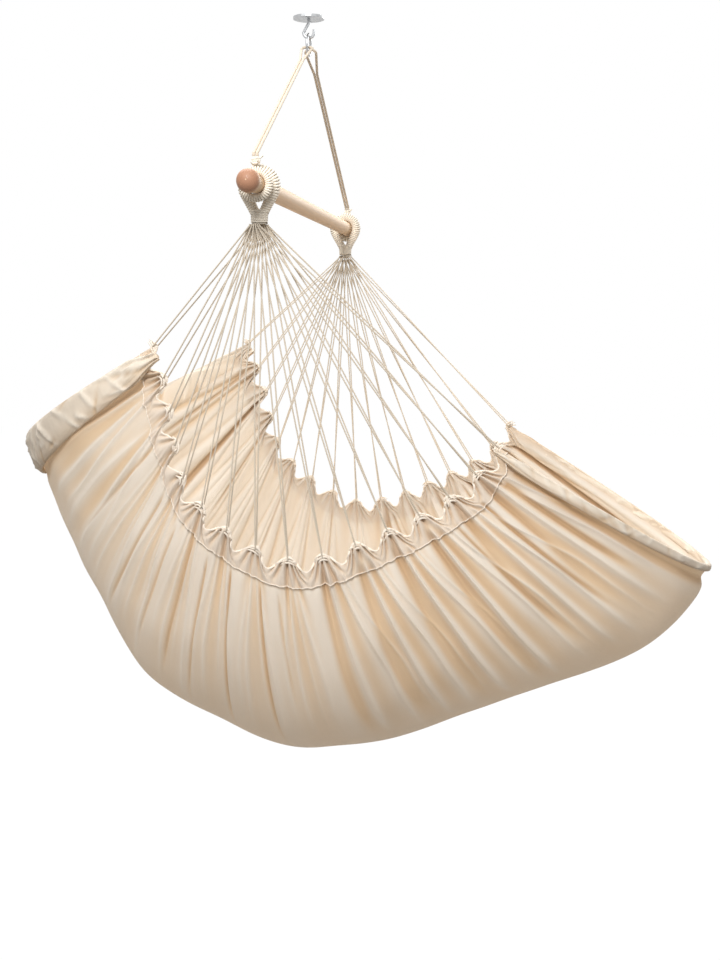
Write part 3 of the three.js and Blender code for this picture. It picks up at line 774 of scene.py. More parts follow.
# Grooves and shadows where the cloth meets its hems: peak, distance from the hem, width
HEAD_GROOVE = (0.014, 0.004, 0.018)
FOOT_GROOVE = (0.008, 0.006, 0.014)
HEAD_SHADOW = (0.9, 0.004, 0.022)
FOOT_SHADOW = (0.7, 0.004, 0.014)
# Painted brown shade just past the edge of each hem
HEAD_HEM_SHADE = (0.45, 0, 0.012)
FOOT_HEM_SHADE = (0.75, 0, 0.018)
KEEL_FLATTENING = 0.7


def beside(distance, peak, middle, width, power=1):
    """A value that peaks beside a hem."""
    return peak * bell(distance - middle, width, power)


def cloth_fields():
    """The dressed cloth's grid, its normals, and its depth, phase and fold height."""
    columns = (GATHERS - 1) * STEPS_PER_SCALLOP
    along = np.linspace(0, 1, columns + 1)[:, None]
    half = np.linspace(0, 1, ROWS_PER_SIDE + 1) ** ROW_CROWDING
    across = np.concatenate([half, 2 - half[-2::-1]])[None, :]
    base = sling_points(along, across)
    phase = np.broadcast_to(along * (GATHERS - 1), base.shape[:2])
    normals = unit(np.cross(np.gradient(base, axis=1), np.gradient(base, axis=0)))
    steps = np.linalg.norm(np.diff(base, axis=1), axis=-1)
    run = np.concatenate([np.zeros((columns + 1, 1)), np.cumsum(steps, axis=1)], 1)
    depth = np.minimum(run, run[:, -1:] - run)
    near = across <= 1
    dip = np.zeros_like(base)
    for side, mask in ((-1, near), (1, ~near)):
        _, inward, _ = rim_frames(along[:, 0], side)
        drop = scallop_dip(phase) * (1 - smooth_step(depth, 0.0, SCALLOP_FADE))
        dip += inward[:, None] * (drop * mask)[..., None]
    pleats, folds, sharp = (
        np.where(near, make(phase, depth, first), make(phase, depth, second))
        for make, first, second in (
            (gather_pleats, 3, 4),
            (long_pleats, 5, 6),
            (creases, NEAR_CREASES, FAR_CREASES),
        )
    )
    to_keel = 1 - smooth_step(depth / (run[:, -1:] / 2), 0.4, 0.8)
    sharp = sharp * to_keel
    height = broad_folds(phase, depth) + pleats + folds * to_keel + sharp
    ends = smooth_step(along, 0.0, 0.03) * (1 - smooth_step(along, 0.97, 0.99))
    height = height * (0.15 + 0.85 * ends) + belly_waves(along, across, 8)
    head, foot = past_hems(along, across)
    shallower = 1 - KEEL_FLATTENING * fullness(across) ** 3
    dent = beside(head, *HEAD_GROOVE, 2) * shallower + beside(foot, *FOOT_GROOVE, 2)
    height = height - dent * smooth_step(depth, 0.0, 0.05)
    outward = base + dip + normals * height[..., None]
    return {
        "along": along, "across": across, "points": outward, "normals": normals,
        "depth": depth, "phase": phase, "height": height, "run": run, "creases": sharp,
    }


def blurred(values, window):
    """A running mean along the cloth, from head to foot."""
    padded = np.pad(values, ((window, window), (0, 0)), "edge")
    total = np.cumsum(padded, axis=0)
    return ((total[2 * window :] - total[: -2 * window]) / (2 * window))[: len(values)]


def near_share(across):
    """1 on the near half of the cloth and 0 on the far half, turning softly at the keel."""
    return smooth_step(1 - np.asarray(across), -0.3, 0.3)


# Rows over which the cloth is averaged, and the depth that counts as full
VALLEY_SPAN = (14, 6.5 * MM)
DEEP_SPAN = (10, 4.5 * MM)


def hollow_share(field, window, depth):
    """How far each place lies below the cloth round it, in shares of a depth."""
    return (blurred(field["height"], window) - field["height"]) / depth


def valley_share(field):
    """Share of painted warm shade: from 0 on a ridge to 1 in a valley, on the outer face of the
    near half and the inner face of the far half, with painted shadow beside the hems.
    """
    hollow = hollow_share(field, *VALLEY_SPAN)
    phase = field["phase"]
    # On the near half the painted shade is also stronger at the head and towards the foot
    outer = 0.16 + 0.16 * smooth_step(3 - phase, 0, 2) + hollow
    outer += 0.12 * smooth_step(phase, 3, 5) + 0.2 * smooth_step(phase, 7, 11)
    inner = 0.16 - (0.7 + 0.3 * smooth_step(phase, 11, 14)) * hollow
    share = inner + (outer - inner) * near_share(field["across"])
    head, foot = past_hems(field["along"], field["across"])
    shadow = beside(head, *HEAD_SHADOW) + beside(foot, *FOOT_SHADOW)
    return np.clip(share + shadow, 0, 1)


def deep_share(field):
    """Painted brown shade in the tightest folds under the gathers, in the sharp creases and just
    past the hems.
    """
    hollow = hollow_share(field, *DEEP_SPAN)
    turn = 2 * near_share(field["across"]) - 1
    toward_foot = 0.55 + 0.45 * smooth_step(field["phase"], 4, 11)
    near_rim = bell(field["depth"], 0.08 + 0.2 * smooth_step(field["phase"], 9, 14))
    crease_shade = np.clip(-field["creases"] / 0.006 * turn - 0.4, 0, 1) * 0.85
    head, foot = past_hems(field["along"], field["across"])
    hem_shade = beside(head, *HEAD_HEM_SHADE) * smooth_step(head, -0.004, 0.001)
    hem_shade = hem_shade + beside(foot, *FOOT_HEM_SHADE) * smooth_step(foot, -0.001, 0.004)
    # Painted brown shade in the hollows under the gathers
    gathered = np.clip(turn * hollow - 0.2, 0, 1) * near_rim * toward_foot
    return np.clip(gathered + crease_shade + hem_shade * near_share(field["across"]), 0, 1)


def past_hems(along, across):
    """Distances from the inner edges of the head and foot hems."""
    s = sling()
    whole = end_length(across)
    head = along * whole - hem_reach(across, s.head_hem, HEAD_CORNER_SHARE) * 2
    foot = (1 - along) * whole - hem_reach(across, s.foot_hem, FOOT_CORNER_SHARE) * 2
    return head, foot


def end_length(across):
    """Length of the cloth from head to foot, along the rims and along the keel."""
    rim, keel = edge_line().lengths[-1], keel_line().lengths[-1]
    return rim + (keel - rim) * fullness(across)


def hem_reach(across, width, corner_share):
    """Half the width of a hem's sleeve: narrow at the corners, full at the keel."""
    return width / 2 * (corner_share + (1 - corner_share) * fullness(across))


def cloth_uv(field, run):
    """A UV in metres: from head to foot along the keel, and in from the rim."""
    return stacked(field["along"] * keel_line().lengths[-1], run)


# Cord routes, as in the part's solids

# Where the legs stand in the collar, in millimetres
GROUP_SPACING = 3.7
LAYER_SPACING = 4
LEG_ASIDE = 6.8
LEG_INWARD = 2.5
CLEARANCE = 0.3 * MM
LOOP_REACH = 6 * MM
LOOP_STUB = 3 * MM
BEND_POINTS = 13
LEG_STEPS = 16
SERVING_HEIGHT = 8.06 * MM
KNOT_GAP = 0.8 * MM


def fan_top(gather, outer, side):
    """Where a leg leaves the collar: outer legs to the head side, inner legs to the foot side."""
    h = hanger()
    groups = math.ceil(GATHERS / LEG_LAYERS)
    group = gather // LEG_LAYERS - (groups - 1) / 2
    leg = -1 if outer else 1
    layer = gather % LEG_LAYERS + 0.5 - (LEG_LAYERS if outer else 0)
    x = group * GROUP_SPACING * MM + leg * LEG_ASIDE * MM
    inward = layer * LAYER_SPACING * MM + leg * LEG_INWARD * MM
    low = -h.collar_drop - h.collar_height / 2 - CLEARANCE
    return np.array([x, side * (h.eye_reach - inward), low])


def fan_cord_route(gather, side):
    """Down from the collar, round the rolled rim at the gather and back up."""
    along = np.array([gather / (GATHERS - 1)])
    seat = rim_frames(along, side)[0][0]
    reach_ends = np.clip(along[0] + np.array([-1, 1]) / (GATHERS - 1), 0, 1)
    first, last = rim_frames(reach_ends, side)[0]
    run = unit(last - first)
    start, end = fan_top(gather, True, side), fan_top(gather, False, side)
    up = unit(start - seat - run * ((start - seat) @ run))
    out = np.cross(run, up)
    if out[1] * side < 0:
        out = -out
    stub = UP * LOOP_STUB
    bend = np.linspace(0, np.pi, BEND_POINTS)[:, None]
    loop = seat + out * np.cos(bend) * LOOP_REACH - up * np.sin(bend) * LOOP_REACH
    share = np.arange(LEG_STEPS + 1)[:, None]
    down = start - stub + (loop[0] - start + stub) * share[:-1] / LEG_STEPS
    back = loop[-1] + (end - stub - loop[-1]) * share[1:] / LEG_STEPS
    return np.concatenate([[start], down, loop, back, [end]])


def knot_base():
    """Height of the knot's lower end, on the hitch."""
    h = hanger()
    return -h.bar_drop + h.hitch_radius + SERVING_HEIGHT + KNOT_GAP


def knot_top(side):
    """Where the rope's two ends stand over the knot."""
    h = hanger()
    return np.array([0.0, side * h.hitch_reach, knot_base() + h.knot_length + CLEARANCE])


def rope_route(side):
    """Up from the knot, through the ring and back down beside itself."""
    h = hanger()
    ring = np.array([0, 0, -h.ring_drop])
    bottom = knot_top(side)
    away = unit(bottom - ring)
    seat = (h.ring_wire + h.rope_diameter) / 2 + CLEARANCE
    spread = h.rope_diameter / 2 + CLEARANCE
    bight = ring + away * (h.ring_radius - seat + h.bight_radius)
    bend = np.linspace(0, np.pi, BEND_POINTS)[:, None]
    loop = bight + (HEAD_FOOT * np.cos(bend) - away * np.sin(bend)) * h.bight_radius
    stub = UP * h.rope_diameter
    taper = bight + away * h.bight_taper
    straight, turn = np.arange(10)[:, None] / 9, np.arange(1, 4)[:, None] / 4
    legs = []
    for hand, end in ((1, loop[0]), (-1, loop[-1])):
        aside = HEAD_FOOT * hand * spread
        foot, neck = bottom + aside, taper + aside
        run = foot + stub + (neck - foot - stub) * straight
        legs.append(np.concatenate([[foot], run, neck + (end - neck) * turn]))
    return np.concatenate([legs[0], loop, legs[1][::-1]])


# Operators


class HAMMOCK_OT_stage(bpy.types.Operator):
    """Camera, lamps, floor and backdrop"""

    bl_idname = "hammock.stage"
    bl_label = "Stage"

    CAMERA_PLACE = (0.5516, -3.0038, -0.6941)
    CAMERA_AXES = (
        (0.9896, 0.1439, 0.0),
        (-0.0159, 0.1092, 0.9939),
        (0.1430, -0.9835, 0.1104),
    )
    LENS = 50
    SENSOR = 36
    FAR_CLIP = 60
    FLOOR_DROP = 2.0
    FLOOR_REACH = 14.0
    FLOOR_TINT = (0.3, 0.29, 0.28, 1)
    FLOOR_GLOW = 1.1
    FLOOR_GLOW_SHARE = 0.9
    STUDIO_TINT = (1, 0.985, 0.96, 1)
    STUDIO_STRENGTH = 0.47
    LAMPS = (
        ("soft_top", (-0.5, 0.7, 1.5), (0, 0, -1.2), 2.0, 52),
        ("soft_front", (0.1, -3.2, 1.4), (0.2, 0, -1.2), 1.5, 136),
        ("soft_back", (1.7, 2.9, 0.6), (0.1, 0, -1.2), 2.2, 74),
    )

    def execute(self, context):
        scene = context.scene
        scene.view_settings.view_transform = "Standard"
        self.add_camera(scene)
        for lamp in self.LAMPS:
            self.add_lamp(scene, *lamp)
        self.add_world(scene)
        self.add_floor(scene)
        return {"FINISHED"}

    def placed(self, scene, name, data):
        thing = bpy.data.objects.new(name, data)
        scene.collection.objects.link(thing)
        return thing

    def add_camera(self, scene):
        data = bpy.data.cameras.new("camera")
        data.lens, data.sensor_width, data.clip_end = self.LENS, self.SENSOR, self.FAR_CLIP
        camera = self.placed(scene, "camera", data)
        turn = Matrix(self.CAMERA_AXES).transposed().to_4x4()
        camera.matrix_world = Matrix.Translation(self.CAMERA_PLACE) @ turn
        scene.camera = camera

    def add_lamp(self, scene, name, place, target, size, power):
        data = bpy.data.lights.new(name, "AREA")
        data.shape = "DISK"
        data.size = size
        data.energy = power
        lamp = self.placed(scene, name, data)
        lamp.location = place
        lamp.rotation_euler = (Vector(target) - Vector(place)).to_track_quat("-Z", "Y").to_euler()

    def add_world(self, scene):
        scene.world = bpy.data.worlds.new("studio")
        finish = Finish("studio", scene.world)
        seen = finish.seen()
        soft, white = (
            finish.add("ShaderNodeBackground", sockets={"Color": tint, "Strength": strength})
            for tint, strength in ((self.STUDIO_TINT, self.STUDIO_STRENGTH), (WHITE, 1))
        )
        both = finish.blended(seen, soft, white)
        finish.add("ShaderNodeOutputWorld", sockets={"Surface": both})

    def add_floor(self, scene):
        finish = Finish("pale_floor")
        seen = finish.seen()
        matt = finish.add("ShaderNodeBsdfDiffuse", sockets={"Color": self.FLOOR_TINT})
        glow = {"Color": WHITE, "Strength": self.FLOOR_GLOW}
        white = finish.add("ShaderNodeEmission", sockets=glow)
        both = finish.blended(seen * self.FLOOR_GLOW_SHARE, matt, white)
        reach = np.array([-1.0, 1.0]) * self.FLOOR_REACH
        x, y = np.meshgrid(reach, reach)
        grid = stacked(x, y, -self.FLOOR_DROP)
        mesh = shell("floor", grid, np.zeros((2, 2, 2)))
        mesh.materials.append(finish.close(both))
        self.placed(scene, "floor", mesh)


class HAMMOCK_OT_ropes(bpy.types.Operator):
    """Two doubled suspension ropes from the ring to their knots"""

    bl_idname = "hammock.ropes"
    bl_label = "Suspension ropes"

    STEP = 1.6 * MM
    STRANDS = 3
    LAY = (STRANDS, 0.019, 0.07)

    def execute(self, context):
        h = hanger()
        finish = thread_finish("twisted_rope", tint_of("rope"), 0.018, self.STRANDS, 0.14, 0.2)
        for name, side in SIDES:
            route = rope_route(side)
            fine = resampled(route, self.STEP)
            mesh = tube(f"{name}_rope", fine, h.rope_diameter / 2, 18, self.LAY)
            node = f"{name}_suspension_rope"
            rope = piece(f"{name}_rope", mesh, finish, "hanger", "cord", node)
        return {"FINISHED"}


class HAMMOCK_OT_fans(bpy.types.Operator):
    """Thirty-two fan cords, each looped round the rolled rim at its gather"""

    bl_idname = "hammock.fans"
    bl_label = "Fan cords"

    def execute(self, context):
        diameter = sling().cord_diameter
        finish = thread_finish("fan_cord", tint_of("cord"), 0.006, 2, 0.2, 0.25)
        for name, side in SIDES:
            for gather in range(GATHERS):
                route = fan_cord_route(gather, side)
                number = f"cord_{gather + 1:02d}"
                label = f"{name}_{number}"
                mesh = tube(label, route, diameter / 2, 8)
                cord = piece(label, mesh, finish, "seat", "cord", f"{name}_fan_{number}")
        return {"FINISHED"}


class HAMMOCK_OT_cloth(bpy.types.Operator):
    """The gathered seat cloth with its pleats"""

    bl_idname = "hammock.cloth"
    bl_label = "Seat cloth"

    FLAT = (1.55, 2.05)
    BAND_FADE = 4 * MM

    def execute(self, context):
        finish = cotton_finish("seat_cotton", tint_of("cotton"), 0.17, 5.0)
        field = cloth_fields()
        edge = sling().band_depth
        band = 1 - smooth_step(field["depth"], edge, edge + self.BAND_FADE)
        # Valley and deep are the painted warm and brown shade in the cloth's folds and beside its
        # hems
        stored = {"valley": valley_share(field), "band": band, "deep": deep_share(field)}
        mesh = shell("seat_sling", field["points"], cloth_uv(field, field["run"]), stored=stored)
        cloth = piece("seat_sling", mesh, finish, "seat", "cotton", "seat_cloth")
        return {"FINISHED"}


class HAMMOCK_OT_bands(bpy.types.Operator):
    """The stitched side bands, the rolled rims and the stitching"""

    bl_idname = "hammock.bands"
    bl_label = "Side bands and rims"

    BAND_ROWS = 36
    BAND_TONE = 0.75
    BAND_LIFT = 2.1 * MM
    # Uneven width: turns a gather, share
    BAND_WAVES = ((1.0, 0.5), (2.3, 0.35), (3.7, 0.3))
    BAND_WAVE = 2.2 * MM
    RUFFLES_A_GATHER = 4.2
    RUFFLE = 0.7 * MM
    FLAT_LENGTH = 1.5
    PIPING_RADIUS = 1.1 * MM
    PIPING_LIFT = 0.9 * MM
    # The rolls of one tuft: how far out of the rim and how far below it
    TUFT_ROLLS = (
        (2.4 * MM, -1.4 * MM),
        (3 * MM, 3 * MM),
        (0.6 * MM, -3.4 * MM),
        (-2 * MM, 1 * MM),
        (3.6 * MM, 7.8 * MM),
    )
    TUFT_RADIUS = 2.1 * MM
    # Half width of a roll, its droop at both ends, and its lean to one side
    TUFT_SPANS = ((0.009, 0.016), (0.004, 0.010), (-0.003, 0.003))
    RIM_UNEVENNESS = 0.35
    RIM_WINDOW = 9

    def execute(self, context):
        band = cotton_finish("band_cotton", tint_of("band"), 0.04, 9.0)
        thread = thread_finish("rim_thread", tint_of("thread"), 0.004, 1, 0.16, 0.2)
        for name, side in SIDES:
            grid, uv, valley, deep, rim, seam = self.band_grid(side)
            tone = np.full(valley.shape, self.BAND_TONE)
            # The cloth's painted warm and brown shade, carried onto the band
            stored = {"valley": valley, "band": tone, "deep": deep}
            mesh = shell(f"{name}_band", grid, uv, stored=stored)
            cloth = piece(f"{name}_band", mesh, band, "seat", "cotton", f"{name}_side_band")
            roll = tube(f"{name}_roll", rim, self.rim_radii(len(rim)), 10)
            mesh = merged(f"{name}_rim", [roll, *self.tufts(name, side)])
            rolled = piece(f"{name}_rim", mesh, thread, "seat", "cotton", f"{name}_rolled_rim")
            mesh = tube(f"{name}_piping", seam, self.PIPING_RADIUS, 6)
            piping = piece(f"{name}_piping", mesh, thread, "seat", "cotton")
        return {"FINISHED"}

    def tufts(self, name, side):
        """Small rolls of cloth bunched under each cord's loop."""
        rng = np.random.default_rng(41 if side < 0 else 42)
        along = np.arange(GATHERS) / (GATHERS - 1)
        place = np.linspace(-1, 1, 13)[:, None]
        found = []
        for gather, (rim, inward, run) in enumerate(zip(*rim_frames(along, side))):
            out = np.cross(inward, run)
            out = out * (np.sign(out[1]) * side or 1)
            for order, (lift, down) in enumerate(self.TUFT_ROLLS):
                width, droop, lean = (rng.uniform(*span) for span in self.TUFT_SPANS)
                line = (
                    rim
                    + run * (place * width + lean)
                    + inward * (down + droop * place**2)
                    + out * (lift * (1 - 0.5 * place**2))
                )
                thick = self.TUFT_RADIUS * (1 - 0.6 * place[:, 0] ** 2) * rng.uniform(0.8, 1.2)
                found.append(tube(f"{name}_tuft_{gather}_{order}", line, thick, 8))
        return found

    def rim_radii(self, count):
        """Radius of the rolled rim, softly uneven along it."""
        rng = np.random.default_rng(21)
        raw = rng.uniform(-1, 1, count + self.RIM_WINDOW - 1)
        soft = np.convolve(raw, np.ones(self.RIM_WINDOW) / self.RIM_WINDOW, "valid")
        return sling().rim_diameter / 2 * (1 + self.RIM_UNEVENNESS * soft)

    def band_grid(self, side):
        """The band's grid over the cloth, with its shades, its top edge and its seam."""
        field = cloth_fields()
        half = slice(ROWS_PER_SIDE + 1) if side < 0 else slice(None, ROWS_PER_SIDE - 1, -1)
        points, normals, depth = (field[key][:, half] for key in ("points", "normals", "depth"))
        phase = field["phase"][:, 0]
        rng = np.random.default_rng(11 if side < 0 else 12)
        wave = sum(
            np.sin(2 * np.pi * turns * phase + rng.uniform(0, 6.3)) * share
            for turns, share in self.BAND_WAVES
        )
        ends = 1 - 0.35 * smooth_step(0.9 - phase, 0, 0.9)
        ends = ends * (1 - 0.6 * smooth_step(phase, 13.6, 15))
        edge = (sling().band_depth + self.BAND_WAVE * wave) * ends
        across = np.linspace(0, 1, self.BAND_ROWS)
        run = edge[:, None] * across

        def on_band(values):
            return np.array([np.interp(*column) for column in zip(run, depth, values)])

        raised = points + normals * self.BAND_LIFT
        grid = np.stack([on_band(raised[..., axis]) for axis in range(3)], -1)
        valley = on_band(valley_share(field)[:, half])
        deep = on_band(deep_share(field)[:, half])
        turns = phase[:, None] * self.RUFFLES_A_GATHER + 0.4 * across
        ruffle = np.sin(2 * np.pi * turns) * self.RUFFLE * (1 + across)
        out = normals[:, 3][:, None]
        grid = grid + out * np.abs(ruffle)[..., None]
        uv = cloth_uv(field, run)
        rim = grid[:, 0] - normals[:, 0] * self.BAND_LIFT
        seam = grid[:, -1] + out[:, 0] * self.PIPING_LIFT
        return grid, uv, valley, deep, rim, seam


class HAMMOCK_OT_hems(bpy.types.Operator):
    """The padded head hem and the slim foot hem"""

    bl_idname = "hammock.hems"
    bl_label = "Hems"

    BAND_CLEARANCE = 4 * MM
    # Paler cotton on the hems: painted light, as they catch less of the lamps' light
    HEM_PAINTED_LIGHT = (1.12, 1.08, 1.02)
    HEAD_THICKNESS = 9 * MM
    FOOT_THICKNESS = 6 * MM
    HEAD_FLAT = (0.09, 1.37)
    FOOT_FLAT = (0.028, 1.38)
    STEPS = 361
    SIDES = 48
    SQUARENESS = 0.6
    CREASES = 150

    def execute(self, context):
        s = sling()
        tint = tuple(np.array(tint_of("cotton")) * self.HEM_PAINTED_LIGHT)
        finish = cotton_finish("hem_cotton", tint, 0.13, 7.0)
        head = self.hem("head", finish, s.head_hem, HEAD_CORNER_SHARE, self.HEAD_THICKNESS)
        foot = self.hem("foot", finish, s.foot_hem, FOOT_CORNER_SHARE, self.FOOT_THICKNESS)
        return {"FINISHED"}

    def hem(self, name, finish, width, corner_share, thickness):
        """A flattened, crumpled sleeve along one end of the sling."""
        across = np.linspace(0.0, 2.0, self.STEPS)
        head = name == "head"
        end = 0.0 if head else 1.0
        reach = hem_reach(across, width, corner_share)
        if not head:
            reach = reach * (1.4 - 0.8 * fullness(across))
        middle = reach / end_length(across)
        here = sling_points(middle if head else 1 - middle, across)
        out = unit(sling_points(end, across) - sling_points(abs(end - 0.03), across))
        run = unit(np.gradient(here, axis=0))
        out = unit(out - run * np.sum(out * run, -1)[:, None])
        normal = unit(np.cross(run, out))
        if normal[len(across) // 2, 2] > 0:
            normal = -normal
        angle = circle(self.SIDES)
        side = np.sign(np.cos(angle)) * np.abs(np.cos(angle)) ** self.SQUARENESS
        aside = side * reach[:, None]
        place = run_along(here)[:, None]
        whole, face = place[-1, 0], np.sin(angle)
        crumple = self.crumple(place, aside, whole, width, face, 31 if head else 32)
        from_end = np.minimum(place, whole - place)
        tuck = 0.4 + 0.6 * smooth_step(from_end, 0.0, 0.07)
        bunch = np.exp(-from_end / 0.07) * np.sin(7 * angle + 30 * place + 2 * np.sin(40 * place))
        thick = thickness * (0.75 + 0.25 * fullness(across)[:, None]) * (1 + 0.5 * bunch)
        grid = (
            here[:, None]
            + out[:, None] * (aside * tuck * (1 + 0.12 * bunch))[..., None]
            + normal[:, None] * (face * thick + crumple * face)[..., None]
        )
        near_corner = 1 - smooth_step(from_end[:, 0], 0.05, 0.11)
        grid += (normal * (thickness * 0.5 + self.BAND_CLEARANCE * near_corner)[:, None])[:, None]
        uv = stacked(place, angle / (2 * np.pi) * 0.2)
        # Painted warm shade: a little everywhere, more on the inner half of the sleeve and in the
        # crumple's hollows, less where it bunches up
        inner_half_shade = smooth_step(-side, -0.2, 1.0) * 0.4
        valley = np.clip(0.2 + inner_half_shade - crumple / 0.005 - 0.35 * bunch, 0, 1)
        mesh = rod(f"{name}_roll", grid, uv, {"valley": valley, "band": np.zeros_like(valley)})
        return piece(f"{name}_roll", mesh, finish, "seat", "cotton", f"{name}_hem")

    def crumple(self, place, aside, run, width, face, seed):
        """Short diagonal creases scattered over both faces of a sleeve."""
        rng = np.random.default_rng(seed)
        total = np.zeros(np.broadcast(place, aside).shape)
        peak = 1 * MM + width * 0.038
        for _ in range(self.CREASES):
            x, y = place - rng.uniform(0, run), aside - rng.uniform(-0.5, 0.5) * width
            turn = rng.uniform(-1.1, 1.1)
            long, fine = rng.uniform(0.015, 0.06), rng.uniform(0.0025, 0.006)
            ahead = x * math.cos(turn) + y * math.sin(turn)
            across = y * math.cos(turn) - x * math.sin(turn)
            shape = np.exp(-((across / fine) ** 2) - (ahead / long) ** 2)
            own = face > 0 if rng.uniform() > 0.5 else face < 0
            total += rng.choice([-1.0, 1.0, 0.8]) * peak * shape * own
        return total


class HAMMOCK_OT_servings(bpy.types.Operator):
    """Served eyes, hitches and wound collars"""

    bl_idname = "hammock.servings"
    bl_label = "Servings"

    HITCH_TURNS = 38
    HITCH_CORE = 3.6 * MM
    HITCH_CORD = 4.4 * MM
    FOOT_SPREAD = 9 * MM
    FOOT_SINK = 4 * MM
    EYE_PITCH = 4.7 * MM
    EYE_CORE = 4.7 * MM
    EYE_SWELL = 1.8 * MM
    EYE_SWELL_RUN = 0.045
    EYE_CORD = 5.2 * MM
    COLLAR_TURNS = 8
    COLLAR_TAPER = 0.93
    COLLAR_CORD_SHARE = 0.86
    # Shade between two turns, and on the core's end faces
    GROOVE_SHADE = 0.8
    END_SHADE = 0.15

    def execute(self, context):
        finish = thread_finish("serving_cord", tint_of("serving"), 0.005, 2, 0.22, 0.2)
        for name, side in SIDES:
            for part, body in (("hitch", "hanger"), ("eye", "seat"), ("collar", "seat")):
                label = f"{name}_{part}"
                mesh = self.winding(label, *getattr(self, part)(side))
                nodes = f"{label}_core", f"{label}_serving"
                piece(label, mesh, finish, body, "serving", *nodes)
        return {"FINISHED"}

    def winding(self, name, line, out, turns, core, cord, steps=18):
        """A helix of cord round a centre line, over a plain core that may taper."""
        run = np.linspace(0, 1, len(line))
        share = np.linspace(0, 1, int(turns * steps) + 1)
        centre = between(share, run, line)
        across = unit(between(share, run, out))
        angle = (2 * np.pi * turns * share)[:, None]
        core = np.broadcast_to(core, run.shape)
        reach = (np.interp(share, run, core) + cord / 2)[:, None]
        path = centre + (across * np.cos(angle) + BAR_AXIS * np.sin(angle)) * reach
        grid, uv = tube_grid(path, cord / 2, 10)
        outward = unit(path - centre)[:, None]
        facing = np.sum(unit(grid - path[:, None]) * outward, -1)
        shade = {"groove": np.clip(self.GROOVE_SHADE - facing, 0, 1)}
        helix = rod(f"{name}_helix", grid, uv, shade)
        ends = unit(line[[1, -1]] - line[[0, -2]]) * cord / 2
        body = np.concatenate([[line[0] - ends[0]], line, [line[-1] + ends[1]]])
        grid, uv = tube_grid(body, np.pad(core, 1, "edge") + cord * 0.2, 16)
        shade = {"groove": np.full(grid.shape[:2], self.GROOVE_SHADE)}
        shade["groove"][[0, -1]] = self.END_SHADE
        return merged(name, [helix, rod(f"{name}_core", grid, uv, shade)])

    def hitch(self, side):
        h = hanger()
        angle = np.linspace(np.pi / 2, np.pi / 2 + 2 * np.pi, 73)
        out = stacked(np.cos(angle), 0, np.sin(angle))
        line = np.array([0, side * h.hitch_reach, -h.bar_drop]) + out * h.hitch_radius
        return line, out, self.HITCH_TURNS, self.HITCH_CORE, self.HITCH_CORD

    def eye(self, side):
        h = hanger()
        top = -h.collar_drop + h.collar_height / 2
        foot = np.array([self.FOOT_SPREAD, top + h.bar_drop - self.FOOT_SINK])
        turn = math.acos(min(1, h.eye_radius / np.linalg.norm(foot)))
        start = math.atan2(foot[1], foot[0]) + turn
        angle = np.linspace(start, np.pi - start, 49)
        arc = stacked(np.cos(angle), np.sin(angle)) * h.eye_radius
        leg = foot + (arc[0] - foot) * np.linspace(0, 1, 13)[:, None]
        mirrored = leg[::-1][1:] * np.array([-1, 1])
        flat = np.concatenate([leg[:-1], arc, mirrored])
        line = stacked(flat[:, 0], side * h.eye_reach, flat[:, 1] - h.bar_drop)
        line = resampled(line, 2 * MM)
        out = unit(np.cross(BAR_AXIS, unit(np.gradient(line, axis=0))))
        run = run_along(line)
        from_foot = np.minimum(run, run[-1] - run)
        core = self.EYE_CORE + self.EYE_SWELL * smooth_step(from_foot, 0.0, self.EYE_SWELL_RUN)
        return line, out, round(run[-1] / self.EYE_PITCH), core, self.EYE_CORD

    def collar(self, side):
        h = hanger()
        cord = h.collar_height / self.COLLAR_TURNS
        low = -h.collar_drop - h.collar_height / 2
        z = np.linspace(low + cord / 2, low + h.collar_height - cord / 2, 21)
        line = stacked(0, side * h.eye_reach, z)
        out = np.broadcast_to(HEAD_FOOT, line.shape)
        core = np.linspace(self.COLLAR_TAPER, 1, len(z)) * (h.collar_diameter / 2 - cord)
        return line, out, self.COLLAR_TURNS, core, cord * self.COLLAR_CORD_SHARE, 40


